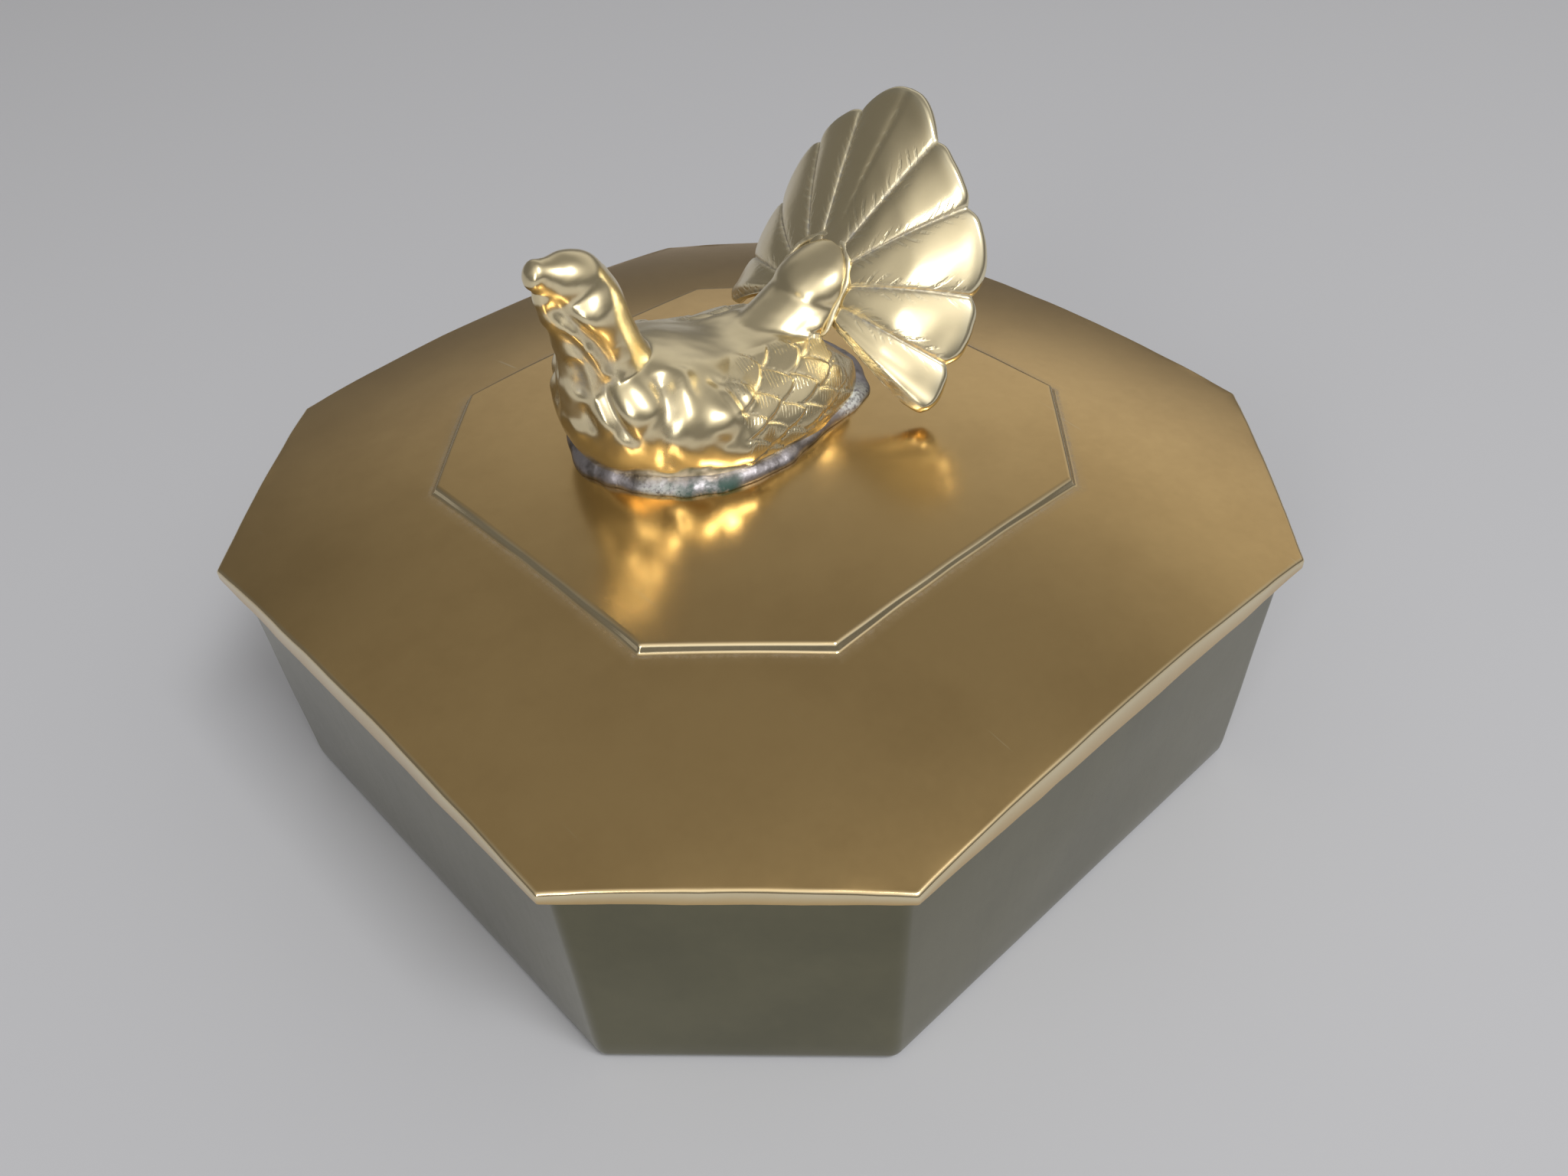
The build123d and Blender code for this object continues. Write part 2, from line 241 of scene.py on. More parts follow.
@dataclass(frozen=True)
class Brass:
    """Polished brass and its patina: clouds, pits, brushing, scratches and soiled hollows, with a painted
    highlight on its edges.
    """

    name: str
    slot: Slot
    colour: Triple
    dark: Triple
    roughness: float = 0.22
    cloud: float = 0.35
    grain: float = 0.06
    pits: float = 0.0
    brushing: Triple = (900.0, 900.0, 25.0)
    brush_depth: float = 0.02
    soil: Triple = (0.30, 0.29, 0.27)
    # Light brass for scratches and cut lines, and for the painted highlight on edges.
    wear_and_highlight: Triple = (0.92, 0.84, 0.60)
    pitted: Triple = (0.035, 0.025, 0.012)
    pit_cells: float = 95.0
    hatch: float = 0.0
    hatch_pitch: float = 0.7
    marks: ClassVar[tuple[str, ...]] = ("soil", "edge", "hatch", "weave")

    def material(self) -> bpy.types.Material:
        """Builds the material.

        Returns:
            A metal whose colour, roughness and bump read Object coordinates and the values in marks.
        """
        material = bpy.data.materials.new(self.name)
        shader = Shader(material)
        soil = shader.mark("soil")
        edge = shader.mark("edge")
        clouds = shader.noise(38.0, 4.0, rough=0.6).step(0.35, 0.7)
        mottle = shader.noise(420.0, 4.0, rough=0.65)
        streaks = shader.noise(1.0, 3.0, shader.place(self.brushing), 0.6)
        tone = shader.blend(clouds * self.cloud + mottle * 0.25, shade(self.colour), shade(self.dark))
        patch = shader.noise(900.0, 2.0).step(0.3, 0.75)
        grime = (soil * (0.55 + patch * 0.6)).smaller(1.0)
        tone = shader.blend(grime, tone, shade(self.soil))
        # Painted highlight: where the edge mark is set, the tone is lightened towards the light brass colour,
        # as on edges that catch the light.
        tone = shader.blend(edge * 0.75, tone, shade(self.wear_and_highlight))
        height = mottle * 0.25 + streaks * 0.6
        rough = self.roughness + (mottle - 0.5) * self.grain + (streaks - 0.5) * self.grain + grime * 0.3
        if self.pits > 0:
            spots = self.pit_mask(shader)
            tone = shader.blend(spots * 0.85, tone, shade(self.pitted))
            rough = rough + spots * 0.35
            height = height - spots * 3.0
            scores = self.scratch_mask(shader)
            tone = shader.blend(scores * 0.3, tone, shade(self.wear_and_highlight))
            height = height - scores * 0.8
        if self.hatch > 0:
            lines = self.hatch_lines(shader)
            height = height - lines * self.hatch
            tone = shader.blend(lines * 0.45, tone, shade(self.wear_and_highlight))
        rough = rough - edge * 0.06
        bump = shader.add("Bump", Strength=0.35, Distance=self.brush_depth * MM, Height=height)
        surface = shader.add(
            "BsdfPrincipled",
            Base_Color=tone,
            Metallic=1.0 - grime * 0.45,
            Roughness=rough.larger(0.06),
            Normal=bump,
        )
        shader.finish(surface)
        return material

    def hatch_lines(self, shader: Shader) -> Wire:
        """Fine cut lines, hatch_pitch mm apart, along equal values of "weave" where "hatch" shows them."""
        waver = shader.noise(260.0, 2.0) * 2.4
        wave = (shader.mark("weave") * (2 * math.pi / self.hatch_pitch) + waver).sine()
        broken = shader.noise(700.0, 2.0).step(0.3, 0.6)
        return wave.step(0.1, 0.9) * shader.mark("hatch").step(0.15, 0.6) * broken

    def pit_mask(self, shader: Shader) -> Wire:
        """Dark specks: a few cells of a Voronoi pattern hold a small dot each."""
        where = shader.place()
        settings = {"feature": "F1"}
        gap = shader.add("TexVoronoi", settings, "Distance", Vector=where, Scale=self.pit_cells)
        pick = shader.add("TexVoronoi", settings, "Color", Vector=where, Scale=self.pit_cells)
        chosen = shader.add("SeparateColor", output=0, Color=pick)
        size = shader.add("SeparateColor", output=1, Color=pick)
        few = chosen.step(1.0 - self.pits, 1.0 - self.pits + 0.02)
        return (size * 0.035 + 0.012 - gap).step(0.0, 0.01) * few

    def scratch_mask(self, shader: Shader) -> Wire:
        """Hairline scratches: the crests of two long, thin noises, where a slow noise lets them show."""
        total = None
        for turn, stretch in ((0.5, 6.0), (-0.9, 5.0)):
            fine = shader.noise(1.0, 1.0, shader.place((1400.0, stretch * 3, 300.0), (0, 0, turn)))
            gate = shader.noise(1.0, 1.0, shader.place((60.0, 25.0, 60.0), (0, 0, turn)))
            line = fine.step(0.76, 0.80) * gate.step(0.55, 0.62)
            total = line if total is None else total.larger(line)
        return total


@dataclass(frozen=True)
class Solder:
    """Soft solder: silver-grey and lumpy, a little purple, with white flux and blue-green verdigris."""

    name: str
    slot: Slot = Slot.SOLDER
    colour: Triple = (0.47, 0.44, 0.46)
    dark: Triple = (0.17, 0.155, 0.15)
    verdigris: Triple = (0.035, 0.085, 0.07)
    flux: Triple = (0.72, 0.76, 0.74)
    marks: ClassVar[tuple[str, ...]] = ("verdigris", "flux")

    def material(self) -> bpy.types.Material:
        """Builds the material.

        Returns:
            A dull metal that reads Object coordinates and the marks "verdigris" and "flux".
        """
        material = bpy.data.materials.new(self.name)
        shader = Shader(material)
        clouds = shader.noise(260.0, 4.0, rough=0.6)
        fine = shader.noise(1500.0, 3.0, rough=0.6)
        green = (shader.mark("verdigris") * clouds.step(0.3, 0.6)).larger(0.0)
        white = shader.mark("flux") * fine.step(0.3, 0.6)
        tone = shader.blend(clouds.step(0.4, 0.7), shade(self.colour), shade(self.dark))
        tone = shader.blend(green, tone, shade(self.verdigris))
        tone = shader.blend(white, tone, shade(self.flux))
        bump = shader.add("Bump", Strength=0.6, Distance=0.25 * MM, Height=clouds * 1.0 + fine * 0.35)
        surface = shader.add(
            "BsdfPrincipled",
            Base_Color=tone,
            Metallic=1.0 - green.larger(white) * 0.9,
            Roughness=0.3 + fine * 0.2 + green * 0.3 + white * 0.25,
            Normal=bump,
        )
        shader.finish(surface)
        return material


# Surfaces


def through(stations: Array, values: Array, at: Array) -> Array:
    """Smooth curve through control values.

    Cubic Hermite pieces whose slope at each station is the central difference of its neighbours.

    Args:
        stations: increasing parameters of the control values, (n,).
        values: the control values, (n,) or (n, k).
        at: parameters at which the curve is wanted, (m,).

    Returns:
        The curve's values, (m,) or (m, k).
    """
    stations, values = np.asarray(stations, float), np.asarray(values, float)
    slopes = np.gradient(values, stations, axis=0)
    i = np.clip(np.searchsorted(stations, at, side="right") - 1, 0, len(stations) - 2)
    span = stations[i + 1] - stations[i]
    t = (at - stations[i]) / span
    if values.ndim > 1:
        t, span = t[:, None], span[:, None]
    a, b, c, d = 2 * t**3 - 3 * t**2 + 1, t**3 - 2 * t**2 + t, 3 * t**2 - 2 * t**3, t**3 - t**2
    return a * values[i] + b * span * slopes[i] + c * values[i + 1] + d * span * slopes[i + 1]


def ripple(points: Array, length: float, seed: float = 0.0) -> Array:
    """Gentle lumps, about -1 to 1: three products of sines, length long, that run in unlike directions."""
    turn = 2 * math.pi / length
    x, y, z = (points[..., i] * turn for i in range(3))
    a = np.sin(x + 0.7 * y + seed) * np.sin(0.9 * z + 0.4 * x + 1.3 * seed)
    b = np.sin(1.3 * y - 0.5 * z + 2.1 * seed) * np.sin(0.8 * x + 1.1 * z + 0.6)
    c = np.sin(1.7 * z + 0.6 * y + seed + 2.0) * np.sin(1.1 * x - 1.2 * y + 1.0)
    return (a + b + c) / 2.2


def dome(xy: Array, top: float, radius: float) -> Array:
    """Height of a sphere's cap: its top less the drop radius - sqrt(radius^2 - distance^2)."""
    return top - radius + np.sqrt(radius**2 - (xy**2).sum(-1))


def quarter(count: int) -> tuple[Array, Array]:
    """Sine and cosine of count angles from 0 to 90 degrees, for a rounded edge."""
    angle = np.linspace(0, math.pi / 2, count)
    return np.sin(angle), np.cos(angle)


def octagon_rings(half: Array, cut: Array, rounding: Array, along: int, turn: int) -> tuple[Array, Array]:
    """Rings of points round octagons, one octagon for each entry of half.

    A side's line lies at its distance from the middle: half for the four long sides, (2 half - cut) / sqrt 2
    for the four short ones. Two neighbouring lines meet in a corner, which an arc of that rounding replaces.

    Args:
        half: half width across the long sides, (m,).
        cut: corner cut along the square's side, (m,).
        rounding: corner radius, (m,).
        along: points on each straight side.
        turn: points on each corner's arc.

    Returns:
        The points (m, n, 2) and the outward directions (n, 2), n being 8 (along + turn).
    """
    half, cut, rounding = np.broadcast_arrays(*(np.asarray(v, float) for v in (half, cut, rounding)))
    side = np.arange(8) * QUARTER
    reach = np.where(np.arange(8) % 2 == 0, half[:, None], ((2 * half - cut) / ROOT2)[:, None])
    after = np.roll(reach, -1, axis=1)
    sine = math.sin(QUARTER)
    corner = np.stack(
        [
            (reach * np.sin(side + QUARTER) - after * np.sin(side)) / sine,
            (after * np.cos(side) - reach * np.cos(side + QUARTER)) / sine,
        ],
        -1,
    )
    bisector = np.stack([np.cos(side + QUARTER / 2), np.sin(side + QUARTER / 2)], -1)
    centre = corner - (rounding / math.cos(QUARTER / 2))[:, None, None] * bisector
    angle = side[:, None] + np.linspace(0, QUARTER, turn)
    radial = np.stack([np.cos(angle), np.sin(angle)], -1)
    arc = centre[:, :, None] + rounding[:, None, None, None] * radial
    start, end = np.roll(arc[:, :, -1], 1, axis=1), arc[:, :, 0]
    share = (0.5 - 0.5 * np.cos(np.linspace(0, math.pi, along + 2)[1:-1]))[:, None]
    straight = start[:, :, None] + (end - start)[:, :, None] * share
    normal = np.stack([np.cos(side), np.sin(side)], -1)
    outward = np.concatenate([np.repeat(normal[:, None], along, 1), radial], 1)
    points = np.concatenate([straight, arc], 2)
    return points.reshape(len(half), -1, 2), outward.reshape(-1, 2)


def skin(rings: Array, joined: bool = False) -> tuple[Array, Array]:
    """Faces over rings of points that are closed round.

    Args:
        rings: the points (m, n, 3).
        joined: joins the last ring to the first one, as on a torus; otherwise the first and last rings each
            close in a point at their mean.

    Returns:
        The points (p, 3) and the faces (f, 4), a triangle repeating its last corner.
    """
    m, n = rings.shape[:2]
    points = [rings.reshape(-1, 3)]
    i, j = np.meshgrid(np.arange(m if joined else m - 1), np.arange(n), indexing="ij")
    k, after = (i + 1) % m, (j + 1) % n
    faces = [np.stack([i * n + j, i * n + after, k * n + after, k * n + j], -1).reshape(-1, 4)]
    count, j = m * n, np.arange(n)
    for row, order in () if joined else ((0, 1), (m - 1, -1)):
        points.append(rings[row].mean(0)[None])
        cap = np.stack([row * n + j, np.full(n, count), row * n + (j + 1) % n], -1)[:, ::order]
        faces.append(np.concatenate([cap, cap[:, -1:]], 1))
        count += 1
    return outward(np.concatenate(points), np.concatenate(faces))


def outward(points: Array, faces: Array) -> tuple[Array, Array]:
    """Turns all faces over if the volume they enclose comes out negative."""
    a, b, c, d = (points[faces[:, i]] for i in range(4))
    volume = (np.cross(a, b) * c).sum() + (np.cross(a, c) * d).sum()
    return points, faces if volume > 0 else faces[:, ::-1]


def normals(points: Array, faces: Array) -> Array:
    """Unit normals at the points, the mean of their faces' normals weighted by area."""
    across = np.cross(points[faces[:, 2]] - points[faces[:, 0]], points[faces[:, 3]] - points[faces[:, 1]])
    total = np.zeros_like(points)
    for column in range(4):
        np.add.at(total, faces[:, column], across)
    return total / np.maximum(np.linalg.norm(total, axis=1), 1e-12)[:, None]


def eased(values: Array, faces: Array, rounds: int) -> Array:
    """Values at the points, averaged with those across each face's edges, as many times as rounds."""
    for _ in range(rounds):
        total, count = values.copy(), np.ones_like(values)
        for a, b in ((0, 1), (1, 2), (2, 3), (3, 0)):
            np.add.at(total, faces[:, a], values[faces[:, b]])
            np.add.at(count, faces[:, a], 1)
        values = total / count
    return values


@dataclass
class Piece:
    """One finished mesh object of the box."""

    name: str
    body: Body
    points: Array
    faces: Array
    marks: dict[str, Array] = field(default_factory=dict)

    def put(self, finish: Brass | Solder, *nodes: str) -> bpy.types.Object:
        """Makes the object, dresses it and sets it in the frame.

        Args:
            finish: its material.
            nodes: the CAD nodes that it stands for.

        Returns:
            The object.
        """
        mesh = bpy.data.meshes.new(self.name)
        triangle = self.faces[:, 2] == self.faces[:, 3]
        faces = [f[:3] if flat else f for f, flat in zip(self.faces.tolist(), triangle.tolist())]
        mesh.from_pydata((self.points * MM).tolist(), [], faces)
        mesh.shade_smooth()
        for name in finish.marks:
            self.marks.setdefault(name, np.zeros(len(self.points)))
        for name, values in self.marks.items():
            layer = mesh.attributes.new(name, "FLOAT", "POINT")
            layer.data.foreach_set("value", np.ascontiguousarray(values, np.float32))
        mesh.update()
        piece = bpy.data.objects.new(self.name, mesh)
        bpy.context.scene.collection.objects.link(piece)
        mesh.materials.append(finish.material())
        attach(piece, self.body.value)
        if nodes:
            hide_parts(*nodes)
        LOG.info("%s: %d points, %d faces", self.name, len(self.points), len(self.faces))
        return piece


# Tub and lid


@dataclass
class Tub:
    """The tub casting: eight walls with draft, a floor, rounded corners and a rounded foot."""

    half: float = 87.2
    cut: float = 36.96
    height: float = 51.7
    wall: float = 3.0
    floor: float = 3.2
    draft: float = 2.2
    corner: float = 3.0
    foot: float = 2.4
    inner: float = 2.0
    brim: float = 0.35
    wave: float = 0.1
    flat: float = 80.0
    along: int = 26
    turn: int = 9
    bed_steps: tuple[float, ...] = (0.02, 0.35, 0.7, 0.9, 0.97)
    wall_steps: tuple[float, ...] = (0.03, 0.08, 0.2, 0.35, 0.5, 0.65, 0.8, 0.92, 0.97)

    def cut_at(self, half: Array) -> Array:
        """Corner cut of an octagon parallel to the mouth's edge; inside flat it shrinks in proportion."""
        walls = np.maximum(half, self.flat)
        return (self.cut - (self.half - walls) * (2 - ROOT2)) * half / walls

    def profile(self) -> tuple[Array, Array, Array]:
        """Runs from the middle underneath, up the outside, over the mouth and down the inside.

        The foot, the mouth's two edges and the inner fillet are arcs; between them the profile is straight,
        with points close to each bend.

        Returns:
            Half width, height and corner radius of each ring.
        """
        sine, cosine = quarter(7)
        lean = self.draft / self.height
        low, mouth = self.half - self.draft, self.half - self.wall
        shoulder = self.height - self.brim
        bed, rise = np.array(self.bed_steps), np.array(self.wall_steps)
        wall_high = self.foot + (shoulder - self.foot) * rise
        inside_high = shoulder - (shoulder - self.floor - self.inner) * rise
        inner_low = mouth - self.draft + self.floor * lean
        outside = [
            (bed * (low - self.foot), bed * 0),
            (low - self.foot + self.foot * sine, self.foot - self.foot * cosine),
            (low + wall_high * lean, wall_high),
            (self.half - self.brim + self.brim * cosine, shoulder + self.brim * sine),
        ]
        inside = [
            (mouth + self.brim - self.brim * sine, shoulder + self.brim * cosine),
            (mouth - self.draft + inside_high * lean, inside_high),
            (inner_low - self.inner + self.inner * cosine, self.floor + self.inner - self.inner * sine),
            (bed[::-1] * (inner_low - self.inner), bed * 0 + self.floor),
        ]
        half, high = np.concatenate(outside + inside, axis=1)
        within = np.arange(len(half)) >= sum(len(reach) for reach, _ in outside)
        corner = np.where(within, self.inner, self.corner) * np.clip(half / 20, 0.02, 1)
        return half, high, corner

    def build(self) -> Piece:
        """Carries the profile round the octagon and lets the cast walls wander a little."""
        half, high, corner = self.profile()
        xy, out = octagon_rings(half, self.cut_at(half), corner, self.along, self.turn)
        rings = np.concatenate([xy, np.broadcast_to(high[:, None, None], xy.shape[:2] + (1,))], -1)
        free = np.clip(high / 8, 0, 1) * np.clip((self.height - high) / 8, 0, 1)
        swell = ripple(rings, 46.0, 0.4) * self.wave * free[:, None]
        rings[..., :2] += out * swell[..., None]
        points, faces = skin(rings)
        reach = np.abs(points[:, :2]).max(1)
        # Painted highlight: the mouth's top edge is lightened, as where the rim catches the light; the lowest
        # 1.5 mm of the outer walls are greyed and dulled.
        mouth = np.clip(1 - (self.height - points[:, 2]) / 0.5, 0, 1)
        under = np.clip(1 - points[:, 2] / 1.5, 0, 1) * (reach > self.half / 2)
        marks = {"edge": mouth * 0.6, "soil": under * 0.4}
        return Piece("tub_casting", Body.BASE, points, faces, marks)


@dataclass
class Lid:
    """The lid casting: a shallow dome cut to an octagon, hollow underneath, with a raised plateau on top."""

    half: float = 90.0
    cut: float = 38.6
    seat: float = 51.7
    rim: float = 2.2
    dome_radius: float = 410.0
    shell: float = 3.2
    arris: float = 0.7
    hollow: float = 77.6
    plateau_half: float = 53.5
    plateau_cut: float = 22.7
    plateau_rise: float = 1.45
    plateau_lean: float = 0.75
    plateau_radius: float = 700.0
    low_round: float = 0.3
    fillet: float = 0.25
    crisp: float = 0.12
    file_wave: float = 0.16
    along: int = 34
    turn: int = 7
    hollow_steps: tuple[float, ...] = (0.02, 0.2, 0.4, 0.6, 0.8, 0.93, 0.99, 1.0)
    land_half: tuple[float, ...] = (77.6, 77.9, 84.0, 88.0, 89.5)
    field_steps: tuple[float, ...] = (
        0.006, 0.02, 0.06, 0.14, 0.28, 0.44, 0.6, 0.74, 0.86, 0.94, 0.975, 0.993, 1.0
    )
    crown_inset: tuple[float, ...] = (0.1, 0.3, 0.7, 1.6, 4.0, 9.0, 16.0, 24.0, 32.0, 40.0, 47.0, 52.0)

    @property
    def top(self) -> float:
        """Height of the dome's crown, from the rim's thickness at the corners."""
        reach = math.hypot(self.half, self.half - self.cut)
        return self.seat + self.rim + self.dome_radius - math.sqrt(self.dome_radius**2 - reach**2)

    @property
    def plateau_top(self) -> float:
        """Height of the plateau's crown, from its edge at the corners."""
        reach = math.hypot(self.plateau_half, self.plateau_half - self.plateau_cut)
        edge = self.top - self.dome_radius + math.sqrt(self.dome_radius**2 - reach**2) + self.plateau_rise
        return edge + self.plateau_radius - math.sqrt(self.plateau_radius**2 - reach**2)

    def section(self, half: Any, cut: Any, corner: Any, height: Callable[[Array], Array] | Array) -> Array:
        """Rings of one stretch of the profile.

        Args:
            half: half widths (m,).
            cut: corner cuts (m,).
            corner: corner radii (m,).
            height: heights (m,), or a function of the rings' x and y.

        Returns:
            Points (m, n, 3).
        """
        xy, _ = octagon_rings(half, cut, corner, self.along, self.turn)
        z = height(xy) if callable(height) else np.broadcast_to(height[:, None], xy.shape[:2])
        return np.concatenate([xy, z[..., None]], -1)

    def cut_at(self, half: Any) -> Any:
        """Corner cut of an octagon that runs parallel to the lid's edge."""
        return self.cut - (self.half - half) * (2 - ROOT2)

    def over(self, xy: Array) -> Array:
        """Height of the dome over x and y."""
        return dome(xy, self.top, self.dome_radius)

    def plateau_over(self, xy: Array) -> Array:
        """Height of the plateau over x and y: a crown of its own, flatter than the dome."""
        return dome(xy, self.plateau_top, self.plateau_radius)

    def underside(self) -> Array:
        """Rings of the hollow, from the middle outwards, and of the flat land that rests on the tub."""
        half = self.hollow * np.array(self.hollow_steps)
        cut = self.cut_at(self.hollow) * half / self.hollow
        top, radius = self.top - self.shell, self.dome_radius - self.shell
        hollow = self.section(half, cut, half * 0.02, lambda xy: dome(xy, top, radius))
        half = np.array(self.land_half)
        land = self.section(half, self.cut_at(half), 0.6, np.full(len(half), self.seat))
        return np.concatenate([hollow, land])

    def rim_edges(self) -> Array:
        """Rings of the rim's lower edge and of its upper arris, each a quarter round."""
        sine, cosine = quarter(6)
        low = self.half - self.low_round + self.low_round * sine
        lower = self.section(low, self.cut_at(low), 0.8, self.seat + self.low_round - self.low_round * cosine)
        high = self.half - self.arris + self.arris * cosine
        upper = self.section(high, self.cut_at(high), 0.9, self.over)
        upper[..., 2] -= (self.arris - self.arris * sine)[:, None]
        return np.concatenate([lower, upper])

    def slope(self) -> Array:
        """Rings over the dome, from the arris in to the plateau's foot."""
        share = np.array(self.field_steps)
        start, foot = self.half - self.arris, self.plateau_half + self.fillet
        foot_cut = self.plateau_cut + self.fillet * (2 - ROOT2)
        half = start + (foot - start) * share
        cut = self.cut_at(start) + (foot_cut - self.cut_at(start)) * share
        return self.section(half, cut, 0.9, self.over)

    def plateau(self) -> Array:
        """Rings up the plateau's bevel and over its crown to the middle."""
        bevel = np.linspace(0.08, 0.82, 5)
        half = self.plateau_half - self.plateau_lean * bevel
        cut = self.plateau_cut - self.plateau_lean * bevel * (2 - ROOT2)
        band = self.section(half, cut, 0.8, self.over)
        rise = self.plateau_over(band[..., :2]) - band[..., 2]
        band[..., 2] += rise * bevel[:, None]
        inset = self.plateau_lean + np.array(self.crown_inset)
        half = self.plateau_half - inset
        cut = self.plateau_cut * half / self.plateau_half
        cut[:4] = self.plateau_cut - inset[:4] * (2 - ROOT2)
        crown = self.section(half, cut, np.minimum(0.8, half * 0.1), self.plateau_over)
        crown[0, :, 2] -= self.crisp
        return np.concatenate([band, crown])

    def build(self) -> Piece:
        """Runs the profile from the middle underneath out to the rim and back over the top."""
        rings = np.concatenate([self.underside(), self.rim_edges(), self.slope(), self.plateau()])
        points, faces = skin(self.filed(rings))
        return Piece("lid_casting", Body.LID, points, faces, self.marks_at(points))

    def insets(self, points: Array) -> tuple[Array, Array]:
        """How far points lie inside the rim's octagon, and how far outside the plateau's."""
        reach = np.abs(points[..., :2]).max(-1)
        across = np.abs(points[..., :2]).sum(-1)
        rim = np.minimum(self.half - reach, ((2 * self.half - self.cut) - across) / ROOT2)
        short = (across - (2 * self.plateau_half - self.plateau_cut)) / ROOT2
        return rim, np.maximum(reach - self.plateau_half, short)

    def filed(self, rings: Array) -> Array:
        """Hand filing: the rim wanders in and out by a tenth or two, and the plateau's edge a little less."""
        half, cut, corner = np.array([self.half]), np.array([self.cut]), np.array([0.9])
        _, out = octagon_rings(half, cut, corner, self.along, self.turn)
        inset, _ = self.insets(rings)
        rim = np.clip(1 - inset / 1.6, 0, 1)
        wander = ripple(rings, 31.0, 1.7) * 0.7 + ripple(rings, 9.0, 0.3) * 0.3
        rings[..., :2] += out * (wander * rim * self.file_wave - rim * self.file_wave * 0.5)[..., None]
        upper = np.clip((rings[..., 2] - self.seat - 0.8) / 1.2, 0, 1)
        rings[..., 2] += ripple(rings, 23.0, 0.9) * rim * upper * 0.12
        inside = np.clip(1 - np.abs(inset - (self.half - self.plateau_half)) / 2.5, 0, 1)
        rings[..., :2] += out * (ripple(rings, 17.0, 2.9) * inside * 0.1)[..., None]
        return rings

    def marks_at(self, points: Array) -> dict[str, Array]:
        """Painted highlight on the rim's arris and on the plateau's bevel, and a darker, duller band at the
        bevel's foot.
        """
        top = points[:, 2] > self.seat + 1.0
        rim, foot = self.insets(points)
        edge = np.clip(1 - rim / 0.9, 0, 1) * top
        crest = np.clip(1.3 - np.abs(foot + 0.55 * self.plateau_lean) / 0.6, 0, 1) * top
        halo = np.clip(1 - np.abs(foot - 0.7) / 0.7, 0, 1) ** 1.5 * top
        return {"edge": np.maximum(edge, crest * 0.8), "soil": halo * 0.7}


# Bird, fan, solder and lip


@dataclass
class Perch:
    """The bird's place on the plateau: its own origin is at the foot of the tail root."""

    x: float = 22.3
    y: float = 7.4
    z: float = 67.22
    turn: float = -4.0

    def seat(self, points: Array) -> Array:
        """Turns points about +Z and moves them from the bird's own frame to the box's."""
        angle = math.radians(self.turn)
        c, s = math.cos(angle), math.sin(angle)
        x = points[..., 0] * c - points[..., 1] * s + self.x
        y = points[..., 0] * s + points[..., 1] * c + self.y
        return np.stack([x, y, points[..., 2] + self.z], -1)


def limb(sections: list[tuple[float, ...]], rows: int = 60, around: int = 72) -> tuple[Array, Array]:
    """Closed limb through elliptical sections.

    Each control section is (x, y, z, lean, half width, half height): its width runs along y, and its height
    runs along x turned up by lean degrees. Rings between them follow the smooth curve through all six values,
    and both ends close in a point.

    Args:
        sections: the control sections.
        rows: rings along the limb.
        around: points round each ring.

    Returns:
        Points and faces.
    """
    control = np.array(sections, float)
    steps = np.linalg.norm(np.diff(control[:, :3], axis=0), axis=1)
    stations = np.concatenate([[0], np.cumsum(steps)])
    at = np.linspace(0, stations[-1], rows)
    x, y, z, lean, wide, high = through(stations, control, at).T
    lean = np.radians(lean)
    angle = np.linspace(0, 2 * math.pi, around, endpoint=False)
    side = np.cos(angle) * np.maximum(wide, 0.02)[:, None]
    up = np.sin(angle) * np.maximum(high, 0.02)[:, None]
    rings = np.stack(
        [
            x[:, None] + up * np.cos(lean)[:, None],
            y[:, None] + side,
            z[:, None] + up * np.sin(lean)[:, None],
        ],
        -1,
    )
    return skin(rings)


def away(points: Array, line: tuple[tuple[float, ...], ...]) -> tuple[Array, Array]:
    """Distance of each point from a line of straight pieces.

    Args:
        points: the points (n, 3).
        line: the line's corners; one corner alone stands for a point.

    Returns:
        Distances (n,) and the share of the line's length at the nearest place (n,).
    """
    corners = np.array(line, float)
    if len(corners) == 1:
        return np.linalg.norm(points - corners[0], axis=1), np.full(len(points), 0.5)
    steps = np.linalg.norm(np.diff(corners, axis=0), axis=1)
    start = np.concatenate([[0], np.cumsum(steps)])
    best, share = np.full(len(points), 1e9), np.zeros(len(points))
    for a, b, length, done in zip(corners[:-1], corners[1:], steps, start):
        t = np.clip((points - a) @ (b - a) / length**2, 0, 1)
        gap = np.linalg.norm(points - a - t[:, None] * (b - a), axis=1)
        nearer = gap < best
        best[nearer], share[nearer] = gap[nearer], ((done + t * length) / start[-1])[nearer]
    return best, share


@dataclass(frozen=True)
class Fold:
    """A line chased into both sides of the bird; a negative depth raises a ridge, or at one point a boss."""

    line: tuple[Triple, ...]
    depth: float
    width: float
    soil: float = 0.0

    def cut(self, points: Array) -> tuple[Array, Array]:
        """Depth and soil of the fold.

        The section is a bell, depth * exp(-(distance / width)^2), that fades towards both ends of the line.

        Args:
            points: points of the bird (n, 3); both sides are treated as the near one.

        Returns:
            Depth (n,) and soil (n,).
        """
        near = np.stack([points[:, 0], -np.abs(points[:, 1]), points[:, 2]], -1)
        gap, share = away(near, self.line)
        ends = np.sqrt(np.clip(np.minimum(share, 1 - share) / 0.12, 0, 1)) if len(self.line) > 1 else 1.0
        depth = self.depth * np.exp(-((gap / self.width) ** 2)) * ends
        return depth, self.soil * np.exp(-((gap / (self.width * 0.8)) ** 2)) * ends


def nick(x: float, y: float, z: float, half: float = 0.9, depth: float = 0.25) -> Fold:
    """A short cut that runs level along the body."""
    return Fold(((x - half, y, z), (x, y, z + 0.15), (x + half, y, z)), depth, 0.38)


